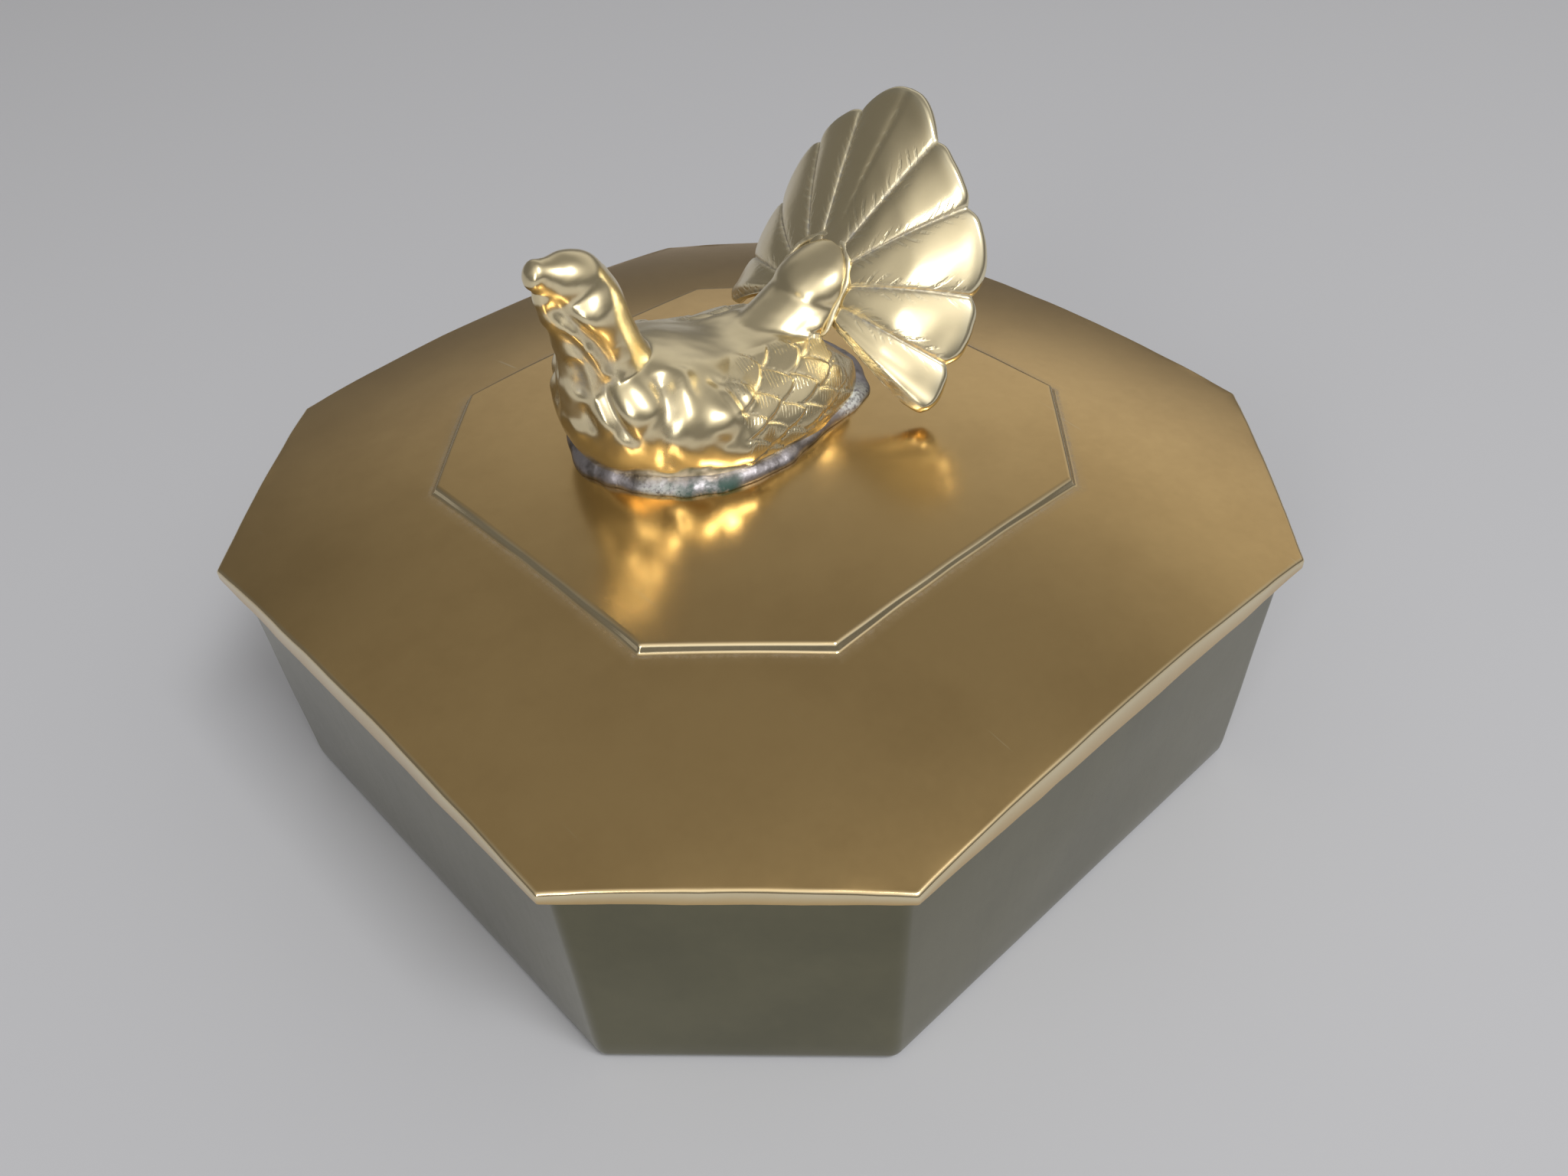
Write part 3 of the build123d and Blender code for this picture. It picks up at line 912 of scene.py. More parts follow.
def stripe(reach: float, radius: float) -> Fold:
    """A groove round the beak, from above to below, at the distance reach from the head's middle."""
    ahead, up, rise, aside = 0.891, 0.454, radius * 0.766, radius * 0.64
    x, z = HEAD_MIDDLE[0] - ahead * reach, HEAD_MIDDLE[1] + up * reach
    over = (x + up * rise, -aside, z + ahead * rise)
    under = (x - up * rise, -aside, z - ahead * rise)
    return Fold((over, (x, -radius, z), under), 0.4, 0.42, 0.5)


# Height of the bird's own origin over the crown of the plateau.
PERCH_LIFT = 0.5
# Middle of the head, along and above the bird's origin.
HEAD_MIDDLE = (-50.4, 36.5)
NICKS = (
    (-41.6, -18.4, 11.2),
    (-41.7, -18.7, 9.4, 0.7),
    (-41.6, -18.8, 7.6),
    (-41.4, -18.9, 6.2, 0.7),
    (-40.6, -18.9, 4.4, 1.1),
    (-38.6, -19.4, 3.2, 1.2),
    (-37.4, -19.8, 2.4, 1.2),
    (-40.3, -17.0, 13.6, 0.6),
    (-49.0, -14.2, 12.0, 0.5, 0.45),
    (-47.6, -15.0, 12.9, 0.4, 0.45),
    (-46.6, -15.4, 11.6, 0.6, 0.4),
    (-45.6, -16.2, 10.6, 0.5, 0.45),
    (-48.2, -14.9, 9.9, 0.8, 0.4),
    (-50.6, -13.0, 9.2, 0.9, 0.35),
    (-52.0, -11.4, 9.4, 0.8, 0.3),
)
FOLDS = (
    # Crease under the hood, down to the small loop that ends it.
    Fold(
        (
            (-57.2, -2.4, 35.4), (-56.0, -4.3, 33.4), (-54.0, -5.7, 31.0),
            (-52.0, -6.7, 28.0), (-50.5, -7.3, 24.6), (-49.9, -7.8, 21.2),
        ),
        1.5, 1.15, 0.45,
    ),
    Fold(((-49.9, -7.8, 21.4), (-50.6, -7.8, 20.1), (-51.4, -7.5, 20.9)), 0.9, 0.7, 0.5),
    Fold(((-53.2, -5.6, 27.4), (-52.4, -6.4, 25.0), (-51.9, -6.9, 22.6), (-51.2, -7.3, 20.9)), -0.7, 0.8),
    # Long crease from the throat over the breast.
    Fold(
        (
            (-56.0, -2.6, 30.0), (-55.0, -4.2, 27.6), (-53.6, -5.6, 25.2), (-52.6, -6.3, 23.2),
            (-52.1, -6.8, 21.3), (-52.0, -7.5, 18.2), (-52.3, -9.7, 15.6), (-51.9, -11.7, 12.9),
            (-50.1, -13.5, 10.1),
        ),
        1.3, 1.1, 0.5,
    ),
    # Ridge in front of that crease, and the broad hood behind the first.
    Fold(
        (
            (-55.3, -3.6, 30.4), (-54.2, -5.2, 27.0), (-53.5, -5.8, 23.3),
            (-53.2, -6.4, 19.3), (-53.6, -8.0, 15.2), (-53.1, -10.1, 11.9),
        ),
        -0.5, 1.8,
    ),
    Fold(
        (
            (-51.8, -5.3, 35.1), (-50.9, -7.0, 31.6), (-49.2, -7.5, 27.5), (-48.4, -8.0, 23.3),
            (-48.8, -8.8, 19.9), (-49.0, -11.6, 16.5), (-47.9, -14.5, 13.8),
        ),
        -1.0, 3.2,
    ),
    # Hollow and ridge down the breast, with two short cuts.
    Fold(((-55.0, -3.6, 24.4), (-54.7, -4.3, 21.0), (-55.0, -3.8, 17.6)), 0.9, 1.8, 0.7),
    Fold(((-55.6, -1.4, 19.6), (-55.9, -1.2, 15.4), (-56.1, -1.4, 11.7), (-55.6, -3.5, 8.5)), -0.5, 1.5),
    Fold(((-54.8, -4.2, 15.6), (-54.9, -5.0, 13.4), (-54.8, -6.2, 11.0)), 0.6, 0.6, 0.3),
    Fold(((-54.2, -5.6, 14.2), (-54.4, -6.4, 12.6), (-54.4, -7.0, 11.2)), 0.4, 0.45, 0.3),
    # Valley between neck and wing, and the wing's leading edge.
    Fold(
        (
            (-42.6, -9.8, 19.6), (-43.0, -12.6, 18.1), (-44.2, -15.0, 15.0),
            (-45.7, -16.0, 12.0), (-46.4, -16.0, 8.4), (-45.8, -15.3, 3.5),
        ),
        1.3, 1.8, 0.3,
    ),
    Fold(
        (
            (-37.6, -10.0, 19.0), (-40.0, -13.5, 17.2), (-41.4, -16.6, 13.0),
            (-41.4, -18.0, 8.0), (-40.6, -18.2, 3.5),
        ),
        -0.9, 2.4,
    ),
    # Shoulder bosses and the cuts between them.
    Fold(((-35.0, -19.3, 11.4),), -1.3, 3.3),
    Fold(((-33.5, -21.2, 4.9),), -1.3, 3.0),
    Fold(((-38.4, -19.4, 9.9), (-37.2, -20.4, 8.2), (-35.9, -21.0, 7.7)), 0.4, 0.7),
    Fold(((-29.2, -17.4, 12.4),), -0.7, 1.9),
    Fold(((-28.7, -20.4, 7.4),), -0.7, 2.0),
    Fold(
        ((-34.0, -13.0, 17.0), (-31.0, -15.8, 14.6), (-31.2, -19.0, 10.4), (-29.9, -21.2, 5.0)),
        0.7, 1.0, 0.1,
    ),
    # Upper edge of the folded wing.
    Fold(
        (
            (-43.0, -7.0, 21.0), (-38.0, -9.6, 19.6), (-31.6, -10.4, 17.6),
            (-24.0, -8.6, 15.9), (-17.0, -7.0, 14.9), (-11.0, -8.0, 13.4),
        ),
        -0.35, 2.2,
    ),
    stripe(6.1, 2.7),
    stripe(7.3, 2.4),
    stripe(8.5, 2.0),
    *(nick(*place) for place in NICKS),
)


@dataclass(frozen=True)
class Plumage:
    """Leaf-shaped feathers on both flanks, laid like shingles with their tips towards the tail.

    A feather is drawn in the flank's own plane: u runs back along the body, turned by tilt, and v runs up it.
    Its half width at the share t of its length is half * (1 - t^2.6) ^ 0.8, so that it ends in a blunt point.
    Rows further forwards lie on top.
    """

    start: float = -32.5
    end: float = -6.0
    low: float = 2.5
    high: float = 15.5
    length: float = 9.2
    pitch: float = 5.0
    half: float = 2.45
    spread: float = 4.1
    tilt: float = -9.0
    step: float = 0.8

    def over(self, points: Array) -> tuple[Array, Array, Array]:
        """Relief of the feathers.

        Args:
            points: points of the bird (n, 3).

        Returns:
            Height (n,), soil in the steps (n,) and share of the hatched part (n,).
        """
        x, y, z = points.T
        c, s = math.cos(math.radians(self.tilt)), math.sin(math.radians(self.tilt))
        u = (x - self.start) * c + (z - self.low) * s
        v = (z - self.low) * c - (x - self.start) * s
        height, soil, hatch = (np.zeros(len(points)) for _ in range(3))
        inside = np.clip((np.abs(y) - 7.5) / 2.0, 0, 1)
        inside = inside * np.clip((x - self.start + 1.5) / 1.5, 0, 1) * np.clip((self.end + 3 - x) / 2, 0, 1)
        inside = inside * np.clip((self.high - z) / 1.5, 0, 1) * np.clip((z - 1.2) / 1.2, 0, 1)
        rows = int((self.end - self.start) / self.pitch) + 1
        for row in range(rows, -2, -1):
            t = (u - row * self.pitch) / self.length
            place = v / self.spread + 0.5 * (row % 2) + 0.12 * math.sin(row * 2.3)
            off = (place - np.round(place)) * self.spread
            half = self.half * np.clip(1 - np.clip(t, 0, 1) ** 2.6, 0, 1) ** 0.8
            gap = half - np.abs(off)
            covers = (t > 0) & (t < 1) & (gap > 0)
            rise = self.step * (0.35 + 0.65 * t) * np.sqrt(np.clip(gap / 0.5, 0, 1))
            height = np.where(covers, np.maximum(rise, 0.0), height)
            soil = np.where(covers, np.clip(1 - gap / 0.35, 0, 1), soil)
            lower = np.clip((off + 0.3) / 0.5, 0, 1) * np.clip((t - 0.3) / 0.15, 0, 1)
            hatch = np.where(covers, lower * np.clip(gap / 0.4, 0, 1), hatch)
        return height * inside, soil * inside * 0.6, hatch * inside


@dataclass
class Bird:
    """The pigeon casting: trunk, rump, neck, head, beak and folded wings fused into one skin, then chased."""

    perch: Perch
    voxel: float = 0.37
    trunk: tuple[tuple[float, ...], ...] = (
        (-56.0, 9.8, 2.0, 2.0),
        (-53.6, 10.0, 9.8, 8.4),
        (-49.5, 9.8, 15.0, 11.4),
        (-43.0, 7.8, 19.2, 13.6),
        (-33.0, 4.0, 22.0, 15.2),
        (-22.0, 1.2, 21.8, 14.3),
        (-10.0, 0.8, 19.2, 13.3),
        (-1.5, 0.6, 15.4, 11.0),
        (3.0, 0.5, 10.6, 8.4),
        (5.6, 0.5, 4.8, 4.5),
    )
    rump: tuple[tuple[float, ...], ...] = (
        (-22.0, 6.0, 7.0, 90.0),
        (-10.0, 8.6, 8.8, 84.0),
        (-3.8, 12.6, 9.2, 66.0),
        (1.3, 17.0, 8.9, 50.7),
        (2.6, 18.1, 8.9, 50.7),
    )
    spur: tuple[Triple, ...] = (
        (-5.0, 6.0, 5.6),
        (-1.0, 8.2, 6.6),
        (3.0, 8.2, 5.6),
        (6.0, 6.9, 3.9),
        (8.4, 5.0, 2.2),
        (10.4, 2.4, 0.6),
    )
    neck: tuple[tuple[float, ...], ...] = (
        (-43.0, 5.0, 11.5, 10.0),
        (-45.2, 12.5, 10.7, 10.0),
        (-47.3, 20.0, 8.5, 8.0),
        (-48.8, 28.0, 7.3, 7.0),
        (-50.0, 33.2, 7.1, 12.0),
        (-50.5, 37.0, 5.3, 18.0),
    )
    wing: tuple[tuple[float, ...], ...] = (
        (-42.0, 13.5, 6.5, 2.5, 3.5),
        (-39.0, 14.4, 6.3, 5.2, 6.6),
        (-34.5, 14.8, 5.8, 6.4, 7.8),
        (-26.0, 13.8, 4.8, 6.4, 7.8),
        (-14.0, 11.5, 3.6, 5.8, 7.4),
        (-5.0, 9.8, 3.4, 4.8, 6.6),
        (-1.5, 9.2, 3.4, 4.0, 5.6),
    )
    head: tuple[float, float] = HEAD_MIDDLE
    lift: float = 27.0
    head_profile: tuple[tuple[float, float], ...] = (
        (-6.4, 0.0),
        (-5.7, 2.4),
        (-3.8, 4.1),
        (-1.4, 5.2),
        (1.4, 5.2),
        (3.8, 4.5),
        (5.4, 3.5),
        (7.6, 2.7),
        (9.4, 1.9),
        (10.0, 0.3),
    )
    chin: tuple[Triple, ...] = (
        (-57.6, 38.4, 0.6),
        (-56.9, 37.2, 1.9),
        (-55.6, 35.0, 2.9),
        (-54.4, 32.0, 3.4),
        (-53.6, 29.0, 2.0),
    )
    chin_lean: float = 25.0
    blend: int = 24
    fold_ease: int = 9
    hatch_slant: float = 58.0
    seat_gap: float = 0.35
    seat_low: float = -8.0
    bearings: int = 64
    folds: tuple[Fold, ...] = FOLDS
    plumage: Plumage = Plumage()

    def limbs(self, fan: Fan) -> list[tuple[Array, Array]]:
        """The closed forms that the casting is fused from."""
        hx, hz = self.head
        c, s = math.cos(math.radians(self.lift)), math.sin(math.radians(self.lift))
        up, _, _ = fan.axes()
        forms = [limb([(x, 0, z, 90, w, h) for x, z, w, h in self.trunk])]
        forms.append(limb([(x, 0, z, lean, r, r) for x, z, r, lean in self.rump]))
        forms.append(limb([(x, 0, z, lean, r, r) for x, z, r, lean in self.neck]))
        forms.append(limb([(hx - c * d, 0, hz + s * d, 90 - self.lift, r, r) for d, r in self.head_profile]))
        forms.append(limb([(x, 0, z, self.chin_lean, r, r) for x, z, r in self.chin]))
        forms.append(limb([(*(fan.foot() + up * high), 180 - fan.lean, w, h) for high, w, h in self.spur]))
        for side in (-1, 1):
            forms.append(limb([(x, side * y, z, 90, w, h) for x, y, z, w, h in self.wing]))
        return forms

    def fused(self, fan: Fan) -> tuple[Array, Array]:
        """Joins the forms with a voxel remesh and eases the creases between them."""
        points, faces, count = [], [], 0
        for p, f in self.limbs(fan):
            points.append(p)
            faces.append(f + count)
            count += len(p)
        points, faces = np.concatenate(points), np.concatenate(faces)
        mesh = bpy.data.meshes.new("bird_rough")
        mesh.from_pydata((points * MM).tolist(), [], [f[:3] if f[2] == f[3] else f for f in faces.tolist()])
        rough = bpy.data.objects.new("bird_rough", mesh)
        bpy.context.scene.collection.objects.link(rough)
        remesh = rough.modifiers.new("fuse", "REMESH")
        remesh.mode, remesh.voxel_size = "VOXEL", self.voxel * MM
        smooth = rough.modifiers.new("ease", "SMOOTH")
        smooth.factor, smooth.iterations = 0.5, self.blend
        done = bpy.data.meshes.new_from_object(rough.evaluated_get(bpy.context.evaluated_depsgraph_get()))
        out = np.empty(len(done.vertices) * 3)
        done.vertices.foreach_get("co", out)
        corners = np.empty(len(done.loops), int)
        done.loops.foreach_get("vertex_index", corners)
        bpy.data.objects.remove(rough)
        bpy.data.meshes.remove(mesh)
        bpy.data.meshes.remove(done)
        return outward(out.reshape(-1, 3) / MM, corners.reshape(-1, 4))

    def chased(self, points: Array, faces: Array) -> tuple[Array, dict[str, Array]]:
        """Moves the skin along its normals by the folds and feathers.

        Returns:
            The new points and the marks "soil", "hatch" and "weave".
        """
        normal = normals(points, faces)
        cuts, soil = np.zeros(len(points)), np.zeros(len(points))
        for fold in self.folds:
            depth, dirt = fold.cut(points)
            cuts = cuts - depth
            soil = np.maximum(soil, dirt)
        feathers, steps, hatch = self.plumage.over(points)
        height, soil = eased(cuts, faces, self.fold_ease) + feathers, np.maximum(soil, steps)
        height = height + ripple(points, 14.0, 0.8) * 0.07 + ripple(points, 5.0, 2.2) * 0.015
        rear = np.clip((points[:, 0] + 12.0) / 3.0, 0, 1) * np.clip((12.5 - points[:, 2]) / 2.0, 0, 1)
        rear = rear * np.clip((np.abs(points[:, 1]) - 6.0) / 2.0, 0, 1)
        slant = math.radians(self.hatch_slant)
        weave = points[:, 0] * math.sin(slant) - points[:, 2] * math.cos(slant)
        marks = {"soil": soil, "hatch": np.maximum(hatch, rear * 0.8), "weave": weave}
        return points + normal * height[:, None], marks

    def cut_back(self, points: Array, fan: Fan) -> Array:
        """Draws in what would reach through the fan: to its front or under its root, whichever is nearer."""
        up, side, back = fan.axes()
        rest = points - fan.foot()
        behind, high = rest @ back, rest @ up
        over_front = behind + self.seat_gap
        over_low = high - self.seat_low
        inside = (over_front > 0) & (over_low > 0)
        front = inside & (over_front <= over_low)
        low = inside & ~front
        points = points - back * np.where(front, over_front, 0)[:, None]
        points = points - up * np.where(low, over_low, 0)[:, None]
        points[:, 2] = np.maximum(points[:, 2], 0.0)
        return points

    def contact(self, points: Array, fan: Fan) -> Array:
        """Outline of the rump where it meets the fan.

        Returns:
            Places across and up the fan (bearings, 2): in each direction from just above the fan's root, the
            farthest point of the skin that lies against the fan, eased round the outline.
        """
        up, side, back = fan.axes()
        rest = points - fan.foot()
        across, high, behind = rest @ side, rest @ up - 1.0, rest @ back
        near = (np.abs(behind + self.seat_gap) < 0.25) & (high + 1.0 > self.seat_low)
        across, high = across[near], high[near]
        turn = np.round(np.arctan2(across, high) / (2 * math.pi) * self.bearings).astype(int) % self.bearings
        reach = np.zeros(self.bearings)
        np.maximum.at(reach, turn, np.hypot(across, high))
        reach = np.where(reach > 0, reach, reach[reach > 0].mean())
        for _ in range(4):
            reach = (np.roll(reach, 1) + 2 * reach + np.roll(reach, -1)) / 4
        angle = np.arange(self.bearings) * (2 * math.pi / self.bearings)
        return np.stack([reach * np.sin(angle), 1.0 + reach * np.cos(angle)], -1)

    def build(self, fan: Fan) -> tuple[Piece, Array]:
        """Fuses, chases and seats the bird.

        Args:
            fan: the tail fan that the rump ends at.

        Returns:
            The casting, and its outline on the fan.
        """
        points, faces = self.fused(fan)
        points, marks = self.chased(points, faces)
        points = self.cut_back(points, fan)
        piece = Piece("pigeon_casting", Body.LID, self.perch.seat(points), faces, marks)
        return piece, self.contact(points, fan)


@dataclass
class Fan:
    """The tail fan casting: nine lobes on a curved sheet, with grooves between them and feather barbs."""

    perch: Perch
    root: float = 16.4
    lean: float = 39.3
    curve: float = 42.0
    thick: float = 1.2
    shift: tuple[float, float] = (0.2, -0.5)
    skew: float = -1.0
    lobes: tuple[tuple[tuple[float, float], ...], ...] = (
        ((0.0, 41.6), (4.1, 41.3), (8.0, 40.2), (11.6, 38.7), (15.0, 37.1), (16.7, 36.3)),
        ((16.7, 36.3), (18.5, 36.7), (24.3, 36.3), (30.7, 35.6), (35.1, 34.9), (37.8, 33.9)),
        ((37.8, 33.9), (40.5, 34.7), (45.8, 34.7), (50.9, 34.2), (57.8, 33.0), (62.5, 31.6), (64.7, 30.7)),
        ((64.7, 30.7), (67.5, 31.2), (74.9, 31.1), (80.6, 30.8), (86.5, 30.2), (90.0, 29.2)),
        (
            (90.0, 29.2), (93.0, 30.1), (97.0, 30.7), (104.5, 31.4),
            (107.6, 31.2), (110.0, 30.2), (111.0, 28.4),
        ),
    )
    flank: tuple[tuple[float, float], ...] = (
        (111.25, 24.5),
        (111.6, 19.5),
        (112.1, 14.5),
        (112.9, 10.5),
        (114.2, 8.4),
        (117.0, 7.5),
        (124.0, 7.4),
        (134.0, 7.4),
        (146.0, 7.4),
        (158.0, 7.4),
        (170.0, 7.4),
    )
    columns: int = 36
    rows: int = 58
    edge_rows: int = 9
    plain: int = 9

    def outline(self, angle: Array) -> tuple[Array, Array, Array]:
        """Scalloped edge of the fan, the same on both sides of the middle.

        Args:
            angle: degrees from the middle lobe's own middle (n,).

        Returns:
            Radius, share across the lobe from -1 to 1, and lobe number.
        """
        flat = np.abs(angle)
        first = np.array([points[0][0] for points in self.lobes])
        last = np.array([points[-1][0] for points in self.lobes])
        lobe = np.clip(np.searchsorted(first, flat, side="right") - 1, 0, len(first) - 1)
        radius = np.zeros_like(flat)
        for number, points in enumerate(self.lobes):
            inside = lobe == number
            stations, reach = np.array(points).T
            radius[inside] = through(stations, reach, flat[inside])
        share = 2 * (flat - first[lobe]) / (last[lobe] - first[lobe]) - 1
        across = np.where(lobe == 0, angle / last[0], share)
        return radius, across, lobe

    def axes(self) -> tuple[Array, Array, Array]:
        """Directions up the leaning fan, to its side and out of its back."""
        lean, skew = math.radians(self.lean), math.radians(self.skew)
        ahead = np.array([math.cos(skew), math.sin(skew), 0.0])
        upright = np.array([0.0, 0.0, 1.0])
        side = np.array([-math.sin(skew), math.cos(skew), 0.0])
        up = ahead * math.sin(lean) + upright * math.cos(lean)
        return up, side, ahead * math.cos(lean) - upright * math.sin(lean)

    def foot(self) -> Array:
        """Root of the fan in the bird's frame."""
        return np.array([*self.shift, self.root])

    @property
    def edges(self) -> tuple[float, ...]:
        """Angles of the grooves between the lobes and of both outer sides."""
        half = [lobe[-1][0] for lobe in self.lobes]
        return tuple(-a for a in reversed(half)) + tuple(half)

    def sheet(self, angle: Array, radius: Array, lift: Array) -> Array:
        """Point of the curved sheet.

        The sheet is a cylinder of the radius curve whose axis runs up the leaning fan; lift is measured from
        the sheet towards the bird's head.

        Args:
            angle: degrees from the middle.
            radius: distance from the root.
            lift: height over the sheet.

        Returns:
            Points in the bird's frame.
        """
        up, side, back = self.axes()
        out = radius * np.sin(np.radians(angle))
        level = np.sqrt(self.curve**2 - out**2)
        place = up * (radius * np.cos(np.radians(angle)))[..., None] + side * out[..., None]
        place = place + back * (self.curve - level)[..., None]
        front = side * (out / self.curve)[..., None] - back * (level / self.curve)[..., None]
        return place + front * lift[..., None] + self.foot()

    def rim(self) -> tuple[Array, Array, Array, Array]:
        """The whole outline, all the way round.

        Returns:
            Angle, radius, share across the lobe from -1 to 1 and lobe number of each column; the straight
            outer sides and the round root close the outline underneath, as one more lobe, the plain one.
        """
        spans = zip(self.edges[:-1], self.edges[1:])
        fine = [np.linspace(a, b, self.columns + 1)[:-1] for a, b in spans]
        fine = np.concatenate(fine + [[self.edges[-1]]])
        radius, across, lobe = self.outline(fine)
        turn, reach = np.array(self.flank).T
        angle = np.concatenate([fine, turn, 360.0 - turn[::-1]])
        radius = np.concatenate([radius, reach, reach[::-1]])
        across = np.concatenate([across, np.ones(2 * len(turn))])
        return angle, radius, across, np.concatenate([lobe, np.full(2 * len(turn), self.plain)])

    def build(self) -> Piece:
        """Polar rings over the front, round the scalloped rim and back over the rear."""
        angle, radius, across, lobe = self.rim()
        share = 1 - (1 - np.linspace(0.02, 1.0, self.rows)) ** 1.5
        turn = np.linspace(0, math.pi, self.edge_rows + 2)[1:-1]
        bend = self.thick * 0.8
        reach = radius - bend
        front = self.relief(angle, share[:, None], across, lobe)
        rings = [self.sheet(angle[None], share[:, None] * reach, front)]
        curl = reach + np.sin(turn)[:, None] * bend
        rings.append(self.sheet(np.broadcast_to(angle, curl.shape), curl, np.cos(turn)[:, None] * front[-1]))
        rings.append(self.sheet(angle[None], share[::-1, None] * reach, -front[::-1] * 0.85))
        points, faces = skin(np.concatenate(rings))
        shares = np.concatenate([share, np.ones(len(turn)), share[::-1]])[:, None]
        marks = self.marks_at(reach, across, lobe, shares)
        marks = {name: np.append(values.reshape(-1), [0.0, 0.0]) for name, values in marks.items()}
        return Piece("tail_fan_casting", Body.LID, self.perch.seat(points), faces, marks)

    def marks_at(self, reach: Array, across: Array, lobe: Array, share: Array) -> dict[str, Array]:
        """Residue in the grooves, bright rim, and barbs that slant outwards from the grooves and the shaft.

        The barbs run along lines of equal weave, 0.42 (0.7 radius - 1.1 distance from the groove) and a slight
        wobble; they show in an uneven band beside each groove.
        """
        ribbed = lobe != self.plain
        gap = (1 - np.abs(across)) * np.where(ribbed, 1.0, 0.0) * share * reach * math.radians(10.0)
        run = share * reach * np.ones_like(across)
        uneven = 0.5 + 0.5 * np.sin(run * 0.55 + lobe * 1.7 + np.sign(across) * 2.0)
        band = np.clip(1 - gap / (1.6 + 1.6 * uneven), 0, 1) * np.clip((run - 9.0) / 4.0, 0, 1) * ribbed
        shaft = np.clip(1 - np.abs(across) * run * 0.29 / 1.8, 0, 1) * (lobe == 0)
        shaft = shaft * np.clip((run - 12.0) / 5.0, 0, 1)
        soil = np.exp(-((gap / 0.45) ** 2)) * np.clip((run - 8.0) / 5.0, 0, 1) * ribbed * (1.1 - 0.5 * share)
        rim = np.exp(-(((1 - share) * reach / 0.9) ** 2)) * ribbed
        weave = (run * 0.7 - gap * 1.1) * 0.42 + np.sin(run * 0.8 + lobe) * 0.12
        hatch = np.maximum(band, shaft * 0.5) * np.clip((1 - share) / 0.06, 0, 1)
        return {"soil": np.clip(soil, 0, 1), "edge": rim * 0.8, "hatch": hatch, "weave": weave}

    def relief(self, angle: Array, share: Array, across: Array, lobe: Array) -> Array:
        """Half thickness of the fan: domed lobes, grooves, a thicker rim and a shaft on the middle lobe."""
        bulge = np.sqrt(np.clip(1 - np.abs(across) ** 2.2, 0, 1))
        grown = np.clip(share * 1.5, 0, 1)
        lift = self.thick * (0.4 + 0.75 * bulge * grown)
        rim = np.exp(-(((1 - share) / 0.07) ** 2)) * 0.28 * bulge
        shaft = np.exp(-((across / 0.09) ** 2)) * (lobe == 0) * 0.22 * np.clip(share * 3 - 1, 0, 1)
        ridge = np.exp(-(((np.abs(angle) - 106.0) / 3.0) ** 2)) * 0.45 * grown * (lobe == 4)
        place = np.stack(np.broadcast_arrays(angle * 0.3, share * 30.0, lobe * 9.0), -1)
        wander = ripple(place, 11.0, 0.7) * 0.07
        return lift + rim + ridge - shaft + wander * bulge


